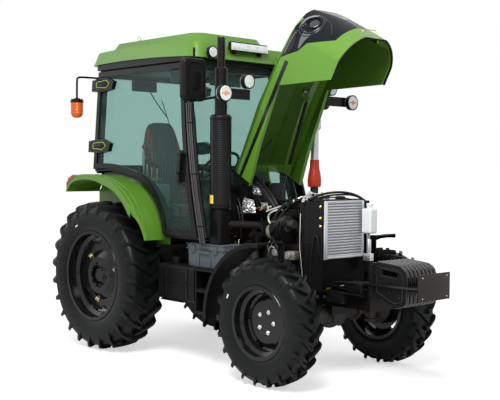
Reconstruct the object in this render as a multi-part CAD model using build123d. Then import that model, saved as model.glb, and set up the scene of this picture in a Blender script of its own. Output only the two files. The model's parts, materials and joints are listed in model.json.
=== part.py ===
from build123d import *
from math import cos, hypot, pi, radians, sin
import os

# A four-wheel-drive farm tractor with a cab, in millimetres.
# +X points forwards, +Y to the left and +Z up. Lengths along X are measured from the
# rear axle, and every piece is moved by ORIGIN_SHIFT as it is written out, so that the
# frame's origin lies on the ground under the middle of the outline.

# ---------------------------------------------------------------- driving dimensions
WHEELBASE = 2140
REAR_TRACK = 1474
FRONT_TRACK = 1406
REAR_TYRE_R = 688
REAR_TYRE_W = 384
FRONT_TYRE_R = 502
FRONT_TYRE_W = 252
REAR_RIM_R = 408
FRONT_RIM_R = 284
# radius, width, rim radius, lugs in a row, lug height, lug width
REAR_TYRE = (REAR_TYRE_R, REAR_TYRE_W, REAR_RIM_R, 23, 38, 34)
FRONT_TYRE = (FRONT_TYRE_R, FRONT_TYRE_W, FRONT_RIM_R, 21, 32, 27)
LUG_LEAD = 0.30            # how far a lug's nose runs ahead, as a share of the pitch
LUG_ROOT = 62              # depth of a lug below the tread's top, so that it shows on the shoulder
LUG_CAMBER = 3.5           # degrees that a lug drops towards its shoulder

LINK_END_X = -905          # ball ends of the lower links, behind the rear axle
FRONT_END_X = 3192         # front face of the blank front plate
ORIGIN_SHIFT = -(LINK_END_X - 30 + FRONT_END_X) / 2

RUNNING_GAP = 5            # between pieces that move past each other
PIN_CLEARANCE = 0.05       # radial, on a hinge pin
GLASS_T = 6

# side plane of the cab: it leans in by CAB_LEAN above the sill
SILL_Y = 638
SILL_Z = 1098
CAB_LEAN = 3.78
CAB_TOP_Z = 2630
DOOR_T = 30
DOOR_GAP = 6               # from the posts to the inside of a door
DOOR_BORDER = 48
POST_DEPTH = 62
POST_OUT = 22              # how far a post shows outside the door's edge
POST_IN = 34               # how far a post reaches behind the door's edge

# hood, drawn closed and then turned up about its hinge
HOOD_HINGE = (1332, 1557)  # x, z
HOOD_OPEN = 59.5           # degrees
HOOD_RISE = 2.5            # degrees that the closed hood's lines rise towards the front
HOOD_HALF_W = 322
HOOD_T = 10
HINGE_PIN_R = 8
STRUT_FOOT = (1352, 1414)  # x, z of the strut's lower eye
STRUT_HEAD = (2160, 1600)  # x, z of the strut's upper eye on the closed hood
STRUT_Y = 205

KINGPIN_Y = FRONT_TRACK / 2 - 163
KINGPIN_R = 16
FRONT_STUB_R = 32          # stub shafts that the wheels turn on
REAR_STUB_R = 44
STEER_LIMIT = 30
DOOR_LIMIT = 60
ROOF_HATCH_LIMIT = 30
LINK_LIFT = 24             # degrees that the lower links rise
LIFT_DROOP = 24            # degrees that the lift arms hang down at rest
ARM_LIFT = 34              # degrees that the lift arms turn meanwhile

FRONT_AXLE = (WHEELBASE, FRONT_TYRE_R)   # x, z
REAR_AXLE = (0, REAR_TYRE_R)


# ---------------------------------------------------------------- shape helpers
def block(x, y, z):
    """A box from its low and high values along each axis."""
    size = (x[1] - x[0], y[1] - y[0], z[1] - z[0])
    middle = ((x[0] + x[1]) / 2, (y[0] + y[1]) / 2, (z[0] + z[1]) / 2)
    return Pos(*middle) * Box(*size)


def soft_block(x, y, z, r, axis=Axis.Z):
    """A box with the edges along one axis rounded."""
    body = block(x, y, z)
    return fillet(body.edges().filter_by(axis), r)


def side_face(points, y=0):
    """A face in the XZ plane from (x, z) corners."""
    return make_face(Polyline(*[(px, y, pz) for px, pz in points], close=True))


def side_prism(points, y):
    """A prism of (x, z) corners between two values of y."""
    return extrude(side_face(points, y[0]), amount=y[1] - y[0], dir=(0, 1, 0))


def plan_prism(points, z):
    """A prism of (x, y) corners between two values of z."""
    face = make_face(Polyline(*[(px, py, z[0]) for px, py in points], close=True))
    return extrude(face, amount=z[1] - z[0], dir=(0, 0, 1))


def front_prism(points, x):
    """A prism of (y, z) corners between two values of x."""
    face = make_face(Polyline(*[(x[0], py, pz) for py, pz in points], close=True))
    return extrude(face, amount=x[1] - x[0], dir=(1, 0, 0))


def rod(a, b, r):
    """A round bar from point a to point b."""
    run = Vector(*b) - Vector(*a)
    return Plane(origin=a, z_dir=run) * Cylinder(r, run.length, align=(Align.CENTER, Align.CENTER, Align.MIN))


def pipe(points, r, bend):
    """A round bar or hose through points, with bends of one radius."""
    path = FilletPolyline(*points, radius=bend)
    return sweep(Plane(origin=path @ 0, z_dir=path % 0) * Circle(r), path=path)


def lathe_y(profile, centre):
    """A turned piece about the Y axis through centre (x, z), from (radius, y) corners."""
    cx, cz = centre
    face = make_face(Polyline(*[(cx + pr, py, cz) for pr, py in profile], close=True))
    return revolve(face, axis=Axis((cx, 0, cz), (0, 1, 0)))


def lathe_z(profile, centre):
    """A turned piece about a vertical axis through centre (x, y), from (radius, z) corners."""
    cx, cy = centre
    face = make_face(Polyline(*[(cx + pr, cy, pz) for pr, pz in profile], close=True))
    return revolve(face, axis=Axis((cx, cy, 0), (0, 0, 1)))


def lathe_x(profile, centre):
    """A turned piece about the X axis through centre (y, z), from (radius, x) corners."""
    cy, cz = centre
    face = make_face(Polyline(*[(px, cy + pr, cz) for pr, px in profile], close=True))
    return revolve(face, axis=Axis((0, cy, cz), (1, 0, 0)))


def ring_of(make, count, centre, axis="y"):
    """count copies of a piece turned about an axis through centre."""
    if axis == "y":
        place = Pos(centre[0], 0, centre[1])
    else:
        place = Pos(0, centre[0], centre[1])
    turns = [360 * i / count for i in range(count)]
    if axis == "y":
        return [place * Rot(Y=turn) * place.inverse() * make for turn in turns]
    return [place * Rot(X=turn) * place.inverse() * make for turn in turns]


def flip(piece):
    """The same piece on the left side."""
    return mirror(piece, about=Plane.XZ)


def both(piece):
    """A right-hand piece and its mirror image."""
    return [piece, flip(piece)]


def fuse(pieces):
    """One solid from pieces that touch or overlap."""
    total = pieces[0]
    for piece in pieces[1:]:
        total = total + piece
    return total


def group(pieces):
    """Separate solids kept together in one node."""
    return Compound([solid for piece in pieces for solid in piece.solids()])


def on_side(flat):
    """Lean a flat right-hand side panel into the cab's side plane."""
    foot = Pos(0, -SILL_Y, SILL_Z)
    return foot * Rot(X=-CAB_LEAN) * foot.inverse() * flat


def side_y(z):
    """Distance of the cab's side plane from the middle at height z."""
    return SILL_Y - (z - SILL_Z) * sin(radians(CAB_LEAN)) / cos(radians(CAB_LEAN))


def opened(piece, turn=HOOD_OPEN + HOOD_RISE):
    """Turn a piece of the hood, drawn level, up to its open place."""
    place = Pos(HOOD_HINGE[0], 0, HOOD_HINGE[1])
    return place * Rot(Y=-turn) * place.inverse() * piece


# ---------------------------------------------------------------- wheels
def flat_ring(sections, sides, centre):
    """A ring of flat facets about the Y axis, from a closed loop of (radius over the flats, y)."""
    cx, cz = centre
    faces = []
    for i in range(sides):
        for (r0, y0), (r1, y1) in zip(sections, sections[1:] + sections[:1]):
            corners = []
            for radius, y, k in ((r0, y0, i), (r1, y1, i), (r1, y1, i + 1), (r0, y0, i + 1)):
                turn = 2 * pi * (k + 0.5) / sides
                reach = radius / cos(pi / sides)
                corners.append(Vector(cx + reach * sin(turn), y, cz + reach * cos(turn)))
            faces.append(Face(Wire.make_polygon(corners, close=True)))
    return Solid(Shell(faces))


def tyre(size, centre, track):
    """A right-hand tyre: a carcass of flats under two staggered rows of slanted lugs."""
    radius, width, rim_r, lugs, lug_h, lug_w = size
    half = width / 2
    y = -track / 2
    base = radius - lug_h
    belly = rim_r + 0.55 * (base - rim_r)
    bead = rim_r - 14 + PIN_CLEARANCE
    carcass = flat_ring([
        (bead, y - half * 0.82), (belly, y - half * 0.98), (base, y - half * 0.72),
        (base, y + half * 0.72), (belly, y + half * 0.98), (bead, y + half * 0.82)], lugs, centre)
    lead = LUG_LEAD * 2 * pi * radius / lugs
    nose, foot = lug_w * 0.62, lug_w * 0.70
    plan = [(lead + nose, -4), (lead - nose, 4), (-1.15 * lead - foot, half), (-1.15 * lead + foot, half)]
    bars = []
    for side, stagger in ((-1, 0), (1, 0.5)):
        face = make_face(Polyline(*[(along, side * across) for along, across in plan], close=True))
        bar = extrude(Plane.XY.offset(radius - LUG_ROOT) * face, amount=LUG_ROOT - 2)
        crown = Pos(0, 0, radius)
        bar = crown * Rot(X=side * -LUG_CAMBER) * crown.inverse() * bar
        for i in range(lugs):
            bars.append(Pos(centre[0], y, centre[1]) * Rot(Y=360 * (i + stagger) / lugs) * bar)
    return carcass.fuse(*[solid for bar in bars for solid in bar.solids()])


def rim_barrel(rim_r, width, centre, track):
    """The rim's barrel with its drop centre and both flanges."""
    h = width / 2 * 0.86
    y = -track / 2
    section = [
        # radius, distance from the wheel's middle plane: outside, then inside
        (rim_r + 6, -h - 8), (rim_r + 6, -h), (rim_r - 14, -h), (rim_r - 14, -h * 0.90),
        (rim_r - 18, -h * 0.50),
        (rim_r - 48, -h * 0.35), (rim_r - 48, h * 0.15), (rim_r - 18, h * 0.45),
        (rim_r - 14, h * 0.90), (rim_r - 14, h),
        (rim_r + 6, h), (rim_r + 6, h + 8), (rim_r - 22, h + 8), (rim_r - 26, h * 0.50),
        (rim_r - 56, h * 0.20), (rim_r - 56, -h * 0.40), (rim_r - 26, -h * 0.55), (rim_r - 22, -h - 8),
    ]
    return lathe_y([(pr, y + dy) for pr, dy in section], centre)


def around(centre, radius, turns, make):
    """Pieces made at the origin along Y and set round an axle at radius, one for each turn."""
    cx, cz = centre
    return [Pos(cx + radius * cos(radians(t)), 0, cz + radius * sin(radians(t))) * make for t in turns]


def rear_wheel():
    """The right rear wheel: a scalloped disc bolted to the rim's lugs, with a lobed hub opening."""
    y = -REAR_TRACK / 2
    barrel = rim_barrel(REAR_RIM_R, REAR_TYRE_W, REAR_AXLE, REAR_TRACK)
    disc_y = y - 45
    disc = lathe_y([
        (88, disc_y - 60), (104, disc_y - 60), (118, disc_y - 46), (170, disc_y - 46), (230, disc_y - 10),
        (330, disc_y - 10), (330, disc_y + 2), (225, disc_y + 2), (165, disc_y - 34), (88, disc_y - 34),
    ], REAR_AXLE)
    scallop = Pos(0, disc_y, 0) * Rot(X=90) * Cylinder(66, 60)
    lobe = Pos(0, disc_y - 45, 0) * Rot(X=90) * Cylinder(20, 60)
    disc = disc - around(REAR_AXLE, 352, range(38, 398, 60), scallop)
    disc = disc - around(REAR_AXLE, 92, range(0, 360, 45), lobe)
    clamps = []
    for turn in range(8, 368, 60):
        clamp = block((300, 362), (disc_y + 2, disc_y + 20), (-34, 34))
        clamps.append(Pos(REAR_AXLE[0], 0, REAR_AXLE[1]) * Rot(Y=-turn) * clamp)
    hub = lathe_y([
        (0, disc_y - 40), (58, disc_y - 40), (70, disc_y - 30), (70, disc_y - 10), (128, disc_y - 6),
        (128, disc_y + 14), (80, disc_y + 20), (80, y + 128), (REAR_STUB_R + PIN_CLEARANCE, y + 128),
        (REAR_STUB_R + PIN_CLEARANCE, y + 97), (0, y + 97),
    ], REAR_AXLE)
    flange = lathe_y([(100, disc_y - 34), (128, disc_y - 34), (128, disc_y - 6), (100, disc_y - 6)], REAR_AXLE)
    return fuse([barrel, disc, hub, flange] + clamps)


def front_wheel():
    """The right front wheel: a dished disc with hand holes, its cap and the hub."""
    y = -FRONT_TRACK / 2
    barrel = rim_barrel(FRONT_RIM_R, FRONT_TYRE_W, FRONT_AXLE, FRONT_TRACK)
    disc_y = y - 5
    disc = lathe_y([
        (0, disc_y - 14), (166, disc_y - 14), (186, disc_y - 6), (192, disc_y + 14), (206, disc_y + 20),
        (226, disc_y + 8), (240, disc_y + 14), (240, disc_y + 24), (208, disc_y + 34), (160, disc_y + 30),
        (122, disc_y + 4), (0, disc_y + 4),
    ], FRONT_AXLE)
    hand_hole = Pos(0, disc_y + 20, 0) * Rot(X=90) * Cylinder(15, 80)
    holes = []
    for turn in range(25, 385, 72):
        for step in (-9, -3, 3, 9):
            holes += around(FRONT_AXLE, 214, [turn + step], hand_hole)
    disc = disc - holes
    hub = lathe_y([
        (0, disc_y + 4), (70, disc_y + 4), (70, y + 48), (FRONT_STUB_R + PIN_CLEARANCE, y + 48),
        (FRONT_STUB_R + PIN_CLEARANCE, y + 19), (0, y + 19),
    ], FRONT_AXLE)
    return fuse([barrel, disc, hub])


# ---------------------------------------------------------------- drive line
TRANSMISSION = [
    # x low, x high, half width, z low, z high
    (-260, 300, 196, 450, 960),
    (300, 322, 212, 440, 960),
    (322, 1020, 158, 500, 905),
    (1020, 1042, 214, 470, 930),
]


def transmission_housing():
    pieces = [block((x0, x1), (-half, half), (z0, z1)) for x0, x1, half, z0, z1 in TRANSMISSION]
    bell = [Plane(origin=(1042, 0, 700), x_dir=(0, 1, 0), z_dir=(1, 0, 0)) * RectangleRounded(400, 430, 60),
            Plane(origin=(1278, 0, 760), x_dir=(0, 1, 0), z_dir=(1, 0, 0)) * RectangleRounded(330, 500, 60)]
    pieces.append(loft(bell))
    pieces.append(block((1278, 1300), (-190, 190), (500, 1040)))
    return fuse(pieces + both(rear_axle_housing()))


def rear_axle_housing():
    """The right trumpet housing with the stub that carries the wheel."""
    hub_y = -REAR_TRACK / 2
    profile = [
        # radius, y
        (0, -196), (165, -196), (165, -226), (118, -262), (100, -330),
        (92, hub_y + 197), (128, hub_y + 177), (128, hub_y + 139), (REAR_STUB_R, hub_y + 139),
        (REAR_STUB_R, hub_y + 103), (0, hub_y + 103),
    ]
    return lathe_y(profile, REAR_AXLE)


INTAKE = (1552, 440)       # x, y of the upright intake
HOSE_Z = (1525, 1770)      # ends of its red hose
CYLINDER_X = (1425, 1560, 1695, 1830)


def engine_block():
    """The crankcase with its ribs, sump and timing cover, and the pump that carries the fan."""
    crankcase = block((1300, 1940), (-138, 138), (560, 1060))
    rails = [block((1300, 1940), (-150, 150), (z, z + 22)) for z in (600, 690, 1038)]
    ribs = [block((x - 5, x + 5), (-148, 148), (600, 860)) for x in (1357, 1492, 1627, 1762, 1897)]
    sump = side_prism([(1320, 560), (1920, 560), (1900, 505), (1560, 470), (1340, 505)], (-120, 120))
    timing_cover = front_prism([(-140, 600), (140, 600), (150, 700), (96, 960), (96, 1080), (-96, 1080),
                                (-96, 960), (-150, 700)], (1940, 1965))
    pump = lathe_x([(0, 1960), (58, 1960), (58, 1990), (40, 2000), (FAN_SHAFT_R, 2000), (FAN_SHAFT_R, 2084),
                    (0, 2084)], (0, FAN_Z))
    crank_pulley = lathe_x([(0, 1960), (96, 1975), (96, 1990), (86, 1996), (96, 2002), (96, 2012), (0, 2012)],
                           (0, 812))
    return fuse([crankcase, sump, timing_cover, pump, crank_pulley] + rails + ribs)


def engine_head():
    """The cylinder head, valve cover, injectors and the inlet manifold on the left."""
    head = block((1320, 1930), (-115, 115), (1060, 1200))
    cover = soft_block((1345, 1905), (-60, 104), (1200, 1275), 30)
    cap = Pos(1420, 20, 1285) * Cylinder(34, 24)
    injectors = [Pos(x, -88, 1235) * Cylinder(13, 76) for x in CYLINDER_X]
    fuel_rail = rod((1400, -88, 1268), (1856, -88, 1268), 9)
    inlet = soft_block((1400, 1860), (112, 190), (1095, 1180), 22)
    elbow = pipe([(INTAKE[0], 180, 1140), (INTAKE[0], 300, 1140), (INTAKE[0], INTAKE[1], 1300),
                  (INTAKE[0], INTAKE[1], HOSE_Z[0])], 36, 60)
    return fuse([head, cover, cap, fuel_rail, inlet, elbow] + injectors)


def engine_accessories():
    """What is bolted to the block: starter, injection pump and filters, alternator and its belt."""
    starter = rod((1300, -205, 660), (1520, -205, 660), 48) + block((1310, 1350), (-205, -138), (622, 690))
    solenoid = rod((1330, -215, 735), (1470, -215, 735), 26)
    pump = fuse([block((1640, 1830), (-232, -138), (880, 985)), rod((1830, -196, 930), (1935, -196, 930), 44)])
    outlets = [rod((x, -195, 985), (x, -195, 1012), 11) for x in (1665, 1705, 1745, 1785)]
    filters = [rod((x, -215, 872), (x, -215, 1000), 40) for x in (1372, 1470)]
    filter_head = block((1325, 1515), (-250, -138), (1000, 1034))
    alternator = fuse([rod((1790, -268, 1235), (1925, -268, 1235), 66), rod((1925, -268, 1235), (1975, -268, 1235), 30),
                       block((1830, 1900), (-268, -115), (1165, 1190))])
    alternator_pulley = lathe_x([(0, 1975), (36, 1975), (36, 2000), (0, 2000)], (-268, 1235))
    compressor = fuse([block((1760, 1925), (115, 245), (1200, 1330)),
                       lathe_x([(0, 1925), (62, 1930), (62, 1955), (0, 1955)], (180, 1265))])
    return group([fuse([starter, solenoid, block((1380, 1400), (-215, -150), (680, 735))]), fuse([pump] + outlets),
                  fuse([filter_head] + filters), fuse([alternator, alternator_pulley]), compressor])


def flue(r):
    """The run of pipe from the manifold to the silencer."""
    return pipe([(1600, -190, 1100), (1600, -290, 1210), (1470, -400, 1215), (EXHAUST[0], EXHAUST[1], 1215),
                 (EXHAUST[0], EXHAUST[1], MUFFLER_Z[0])], r, 44)


def exhaust_manifold():
    """The manifold's log and branches, and the pipe up to the silencer with its flexible bellows."""
    log = rod((1400, -190, 1100), (1860, -190, 1100), 34)
    branches = [pipe([(x, -115, 1135), (x, -160, 1135), (x + 12, -190, 1100)], 24, 20) for x in CYLINDER_X]
    outlet = flue(30)
    bellows = [Pos(EXHAUST[0], EXHAUST[1], z) * Cylinder(39, 8) for z in range(1272, 1335, 15)]
    return fuse([log] + branches + [outlet] + bellows)


EXHAUST = (1363, -516)     # x, y of the upright silencer
MUFFLER_Z = (1341, 2138)
SHIELD_Z = 1048            # foot of the shield round the pipe, over the box below
MUFFLER_R = 89
NECK_Z = 2530
NECK_R = 53
STACK_Z = 2795
STACK_R = 34


def muffler():
    body = lathe_z([
        (0, MUFFLER_Z[0]), (MUFFLER_R - 14, MUFFLER_Z[0]), (MUFFLER_R, MUFFLER_Z[0] + 14),
        (MUFFLER_R, MUFFLER_Z[1] - 18), (MUFFLER_R - 18, MUFFLER_Z[1]), (NECK_R, MUFFLER_Z[1]),
        (NECK_R, NECK_Z), (STACK_R, NECK_Z + 12), (STACK_R, STACK_Z), (STACK_R - 5, STACK_Z),
        (STACK_R - 5, NECK_Z - 40), (0, NECK_Z - 40),
    ], EXHAUST)
    slant = Pos(EXHAUST[0], EXHAUST[1], STACK_Z) * Rot(Y=38) * Pos(0, 0, 100) * Box(400, 200, 200)
    stay = block((1300, 1330), (EXHAUST[1] + MUFFLER_R - 12, -200), (1500, 1530))
    ex, ey = EXHAUST
    shield = soft_block((ex - 70, ex + 70), (ey - 70, ey + 70), (SHIELD_Z, MUFFLER_Z[0]), 24)
    shield = shield - rod((ex, ey, SHIELD_Z + 30), (ex, ey, MUFFLER_Z[0]), 44) - flue(34)
    return (body - slant) + stay + shield


def front_frame():
    """Side rails, radiator cradle and the two brackets of the axle's pivot."""
    rail = block((1600, 2700), (-185, -150), (600, 712))
    cradle = block((2090, 2340), (-285, 285), (712, 728))
    nose = block((2700, 2730), (-185, 185), (590, 780))
    cross = block((2400, 2420), (-150, 150), (620, 712))
    ax, az = FRONT_AXLE
    trunnions = [block((x, x + 40), (-150, 150), (az + 20, 712)) for x in (ax - 170, ax + 130)]
    pin = rod((ax - 170, 0, az + 62), (ax + 170, 0, az + 62), 22)
    return fuse(both(rail) + [cradle, nose, cross, pin] + trunnions)


def front_axle():
    ax, az = FRONT_AXLE
    bulge = Pos(ax, 0, az - 12) * Sphere(112)
    end_y = 40 - KINGPIN_Y
    tube = lathe_y([(0, end_y), (52, end_y), (58, -300), (80, -90), (80, 0), (0, 0)], FRONT_AXLE)
    boss = Pos(ax, -KINGPIN_Y, az) * (Cylinder(48, 190) - Cylinder(KINGPIN_R + PIN_CLEARANCE, 200))
    arm = rod((ax, 50 - KINGPIN_Y, az), (ax, -KINGPIN_Y + KINGPIN_R + 4, az), 46)
    saddle = block((ax - 120, ax + 120), (-50, 50), (az, az + 96))
    pin_hole = rod((ax - 140, 0, az + 62), (ax + 140, 0, az + 62), 22)
    return fuse([bulge] + both(tube) + both(boss) + both(arm) + [saddle]) - pin_hole


def steering_knuckle():
    """The right knuckle: two ears over the axle's boss and the hub carrier."""
    ax, az = FRONT_AXLE
    hub_y = -FRONT_TRACK / 2
    ears = []
    for z0 in (az + 95 + RUNNING_GAP, az - 95 - RUNNING_GAP - 26):
        ear = block((ax - 55, ax + 55), (hub_y + 73, -KINGPIN_Y), (z0, z0 + 26))
        ears.append(ear + Pos(ax, -KINGPIN_Y, z0 + 13) * Cylinder(55, 26))
    carrier = lathe_y([
        (0, hub_y + 105), (150, hub_y + 105), (150, hub_y + 78), (105, hub_y + 53), (FRONT_STUB_R, hub_y + 53),
        (FRONT_STUB_R, hub_y + 23), (0, hub_y + 23),
    ], FRONT_AXLE)
    steering_arm = block((ax - 190, ax - 40), (-KINGPIN_Y - 20, 5 - KINGPIN_Y), (az + 100, az + 126))
    pins = [Pos(ax, -KINGPIN_Y, az + offset) * Cylinder(KINGPIN_R, 44) for offset in (84, -84)]
    return fuse(ears + pins + [carrier, steering_arm])


def front_mudguard():
    """The right front mudguard with its bracket to the knuckle."""
    ax, az = FRONT_AXLE
    hub_y = -FRONT_TRACK / 2
    guard_r = FRONT_TYRE_R + 112
    span = [radians(a) for a in range(88, 186, 4)]
    outer = [(ax + guard_r * cos(a), az + guard_r * sin(a)) for a in span]
    inner = [(ax + (guard_r - 6) * cos(a), az + (guard_r - 6) * sin(a)) for a in span]
    sheet = side_prism(outer + inner[::-1], (hub_y - 132, hub_y + 145))
    stay = block((ax - 30, ax + 30), (hub_y + 135, hub_y + 145), (az + 126, az + guard_r - 4))
    return fuse([sheet, stay])


# ---------------------------------------------------------------- front end
WEIGHT_COUNT = 8
WEIGHT_T = 43
WEIGHT_PITCH = 48
PLATE_Z = 817              # middle of the blank front plate


def front_weights():
    outline = [
        # x, z
        (2772, 967), (2800, 985), (3010, 965), (3060, 930), (3080, 860),
        (3066, 690), (3040, 670), (2965, 650), (2772, 744),
    ]
    first = -WEIGHT_PITCH * (WEIGHT_COUNT - 1) / 2
    slabs = []
    for i in range(WEIGHT_COUNT):
        y = first + i * WEIGHT_PITCH
        slab = side_prism(outline, (y - WEIGHT_T / 2, y + WEIGHT_T / 2))
        grip = side_prism([(2850, 934), (2995, 916), (2990, 878), (2850, 892)], (y - 30, y + 30))
        slabs.append(slab - grip)
    carrier = block((2730, 2772), (-200, 200), (690, 962))
    hooks = side_prism([(2700, 925), (2772, 925), (2772, 975), (2735, 975)], (-180, 180))
    pin = rod((2900, -195, 760), (2900, 195, 760), 14)
    plate = block((FRONT_END_X - 14, FRONT_END_X), (-190, 190), (PLATE_Z - 100, PLATE_Z + 100))
    arms = [block((3040, FRONT_END_X - 14), (y - 14, y + 14), (780, 820)) for y in (-120, 120)]
    return fuse(slabs + [carrier, hooks, pin, plate] + arms)


RADIATOR_X = (2110, 2320)
RADIATOR_Z = (728, 1430)
RADIATOR_HALF_W = 288
FAN_Z = 1040
FAN_R = 200
FAN_SHAFT_R = 12


def radiator():
    x0, x1 = RADIATOR_X
    z0, z1 = RADIATOR_Z
    sides = both(block((x0, x1), (-RADIATOR_HALF_W, -RADIATOR_HALF_W + 10), (z0, z1)))
    core = block((x0 + 90, x1 - 30), (-RADIATOR_HALF_W + 10, RADIATOR_HALF_W - 10), (z0, z1 - 60))
    tank = soft_block((x0 + 70, x1 - 10), (-RADIATOR_HALF_W + 10, RADIATOR_HALF_W - 10), (z1 - 60, z1), 12, Axis.Y)
    shroud = block((x0 + 10, x0 + 90), (-RADIATOR_HALF_W + 10, RADIATOR_HALF_W - 10), (z0, z1 - 60))
    opening = rod((x0 - 10, 0, FAN_Z), (x0 + 70, 0, FAN_Z), FAN_R + 18)
    return fuse(sides + [core, tank, shroud]) - opening


def condenser():
    x = RADIATOR_X[1] + 4
    core = block((x, x + 16), (-256, 166), (985, 1430))
    headers = [rod((x + 9, y, 975), (x + 9, y, 1436), 11) for y in (-266, 176)]
    stays = [block((RADIATOR_X[1] - 30, x), (y - 8, y + 8), (z, z + 30)) for y in (-200, 120) for z in (1060, 1300)]
    return fuse([core] + headers + stays)


def coolant_bottle():
    body = fillet(block((2352, 2452), (146, 240), (1165, 1370)).edges(), 18)
    cap = Pos(2402, 193, 1380) * Cylinder(24, 30)
    bracket = block((RADIATOR_X[1] - 30, 2360), (200, 232), (1215, 1320))
    return fuse([body, cap, bracket])


def fan_blades():
    hub = lathe_x([(FAN_SHAFT_R + PIN_CLEARANCE, 2050), (62, 2050), (62, 2098), (0, 2098), (0, 2088),
                   (FAN_SHAFT_R + PIN_CLEARANCE, 2088)], (0, FAN_Z))
    blade = Plane(origin=(2076, 0, FAN_Z + 125), z_dir=(0, 0, 1)) * Rot(Z=38) * Box(62, 7, 150)
    blades = ring_of(blade, 7, (0, FAN_Z), "x")
    return fuse([hub] + blades)


# ---------------------------------------------------------------- right and left of the engine
TANK_X = (690, 1185)
TANK_Y = (-655, -330)
TANK_Z = (535, 845)


def fuel_tank():
    body = fillet(block(TANK_X, TANK_Y, TANK_Z).edges().filter_by(Axis.X), 34)
    neck = Pos(840, -560, TANK_Z[1] + 14) * Cylinder(34, 40)
    cap = Pos(840, -560, TANK_Z[1] + 48) * Cylinder(44, 30)
    tray = block((TANK_X[0] + 20, 1015), (-640, -158), (TANK_Z[0] - 14, TANK_Z[0]))
    return fuse([body, neck, cap, tray])


def battery_box():
    """The box for the battery on the left, under the door, on its tray."""
    body = fillet(block((TANK_X[0], TANK_X[1]), (330, 640), (540, 830)).edges().filter_by(Axis.X), 20)
    tray = block((TANK_X[0] + 20, 1015), (158, 630), (526, 540))
    return fuse([body, tray])


def toolbox():
    x0, x1 = 1016, 1500
    tub = loft([Plane.XY.offset(TANK_Z[1]) * Pos((x0 + x1) / 2, -490) * RectangleRounded(x1 - x0 - 24, 196, 22),
                Plane.XY.offset(1000) * Pos((x0 + x1) / 2, -490) * RectangleRounded(x1 - x0 - 6, 214, 22)])
    lid = extrude(Plane.XY.offset(1000) * Pos((x0 + x1) / 2, -490) * RectangleRounded(x1 - x0, 220, 22), amount=40)
    latches = [block((x - 26, x + 26), (-608, -598), (965, 1030)) for x in (1110, 1400)]
    return fuse([tub, lid] + latches)


def cab_steps():
    """Steps on both sides, between the tank and the front wheel."""
    cheeks = [block((x, x + 12), (-650, -470), (450, 840)) for x in (1196, 1420)]
    treads = [block((1208, 1420), (-655, -470), (z, z + 22)) for z in (452, 640, 818)]
    tie = block((1196, 1298), (-470, -190), (640, 664))
    back = block((1196, 1432), (-482, -470), (450, 840))
    side = fuse(cheeks + treads + [tie, back])
    return group(both(side) + [battery_box()])


# ---------------------------------------------------------------- rear fenders
FENDER_OUT = (REAR_TRACK + REAR_TYRE_W) / 2 - 27
FENDER_IN = (REAR_TRACK - REAR_TYRE_W) / 2 - 25


def fender_outline(gap):
    """The fender's top line, moved outwards from the wheel by gap."""
    low = (700 + gap, 1050)
    high = (205 + gap * 0.45, 1572 + gap)
    back = (-300, 1600 + gap)
    tail = (-440 - gap * 0.4, 1455)
    front = ThreePointArc(low, (568 + gap * 0.75, 1352 + gap * 0.66), high)
    top = ThreePointArc(high, (-60, 1622 + gap), back)
    rear = ThreePointArc(back, (-392 - gap * 0.4, 1552 + gap * 0.7), tail)
    return front, top, rear


def arc_wall(outer, inner, y):
    """A wall between two lines of arcs drawn in the XZ plane."""
    edges = list(outer) + [Line(outer[-1] @ 1, inner[-1] @ 1)] + list(inner) + [Line(inner[0] @ 0, outer[0] @ 0)]
    face = make_face(edges)
    standing = Plane(origin=(0, y[0], 0), x_dir=(1, 0, 0), z_dir=(0, -1, 0)) * face
    return extrude(standing, amount=y[1] - y[0], dir=(0, 1, 0))


def rear_fender():
    """The right rear fender: the swept top, its outer lip and the inner wall."""
    top = arc_wall(fender_outline(0), fender_outline(-14), (-FENDER_OUT, -FENDER_IN))
    lip = arc_wall(fender_outline(0), fender_outline(-46), (-FENDER_OUT - 1, -FENDER_OUT + 12))
    corner = plan_prism([(560, -FENDER_OUT - 5), (760, -FENDER_OUT - 5), (760, -755)], (900, 1500))
    wall = side_prism([(-430, 1455), (-300, 1585), (205, 1560), (520, 1340), (690, 1050), (690, 1000),
                       (-430, 1000)], (-FENDER_IN - 8, -FENDER_IN))
    return fuse([top, lip, wall]) - corner


# ---------------------------------------------------------------- cab
DOOR_REAR_X = -385
HINGE_X = DOOR_REAR_X - 12
HINGE_OUT = 44             # of the door's pins, outwards from the side plane
DOOR_HINGE_Z = (1890, 2480)
A_POST = [(932, 2612), (1040, 1841), (1238, 1100)]   # x, z from top to sill


def door_outline():
    """The door's edge in the side plane, in x and z."""
    top_rear = (DOOR_REAR_X, 2612)
    low_rear = (DOOR_REAR_X, 1672)
    arch_high = (236, 1620)
    arch_low = (762, 1100)
    front = ThreePointArc(A_POST[0], (A_POST[1][0] - 6, A_POST[1][1]), A_POST[2])
    arch = ThreePointArc(arch_low, (622, 1398), arch_high)
    crest = ThreePointArc(arch_high, (-40, 1672), low_rear)
    return make_face([Line(top_rear, A_POST[0]), front, Line(A_POST[2], arch_low), arch, crest,
                      Line(low_rear, top_rear)])


def side_slab(face, outward):
    """A flat panel on the right side: outward is its (near, far) distance from the side plane."""
    standing = Plane(origin=(0, -SILL_Y - outward[0], 0), x_dir=(1, 0, 0), z_dir=(0, -1, 0)) * face
    return extrude(standing, amount=outward[1] - outward[0], dir=(0, -1, 0))


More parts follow.
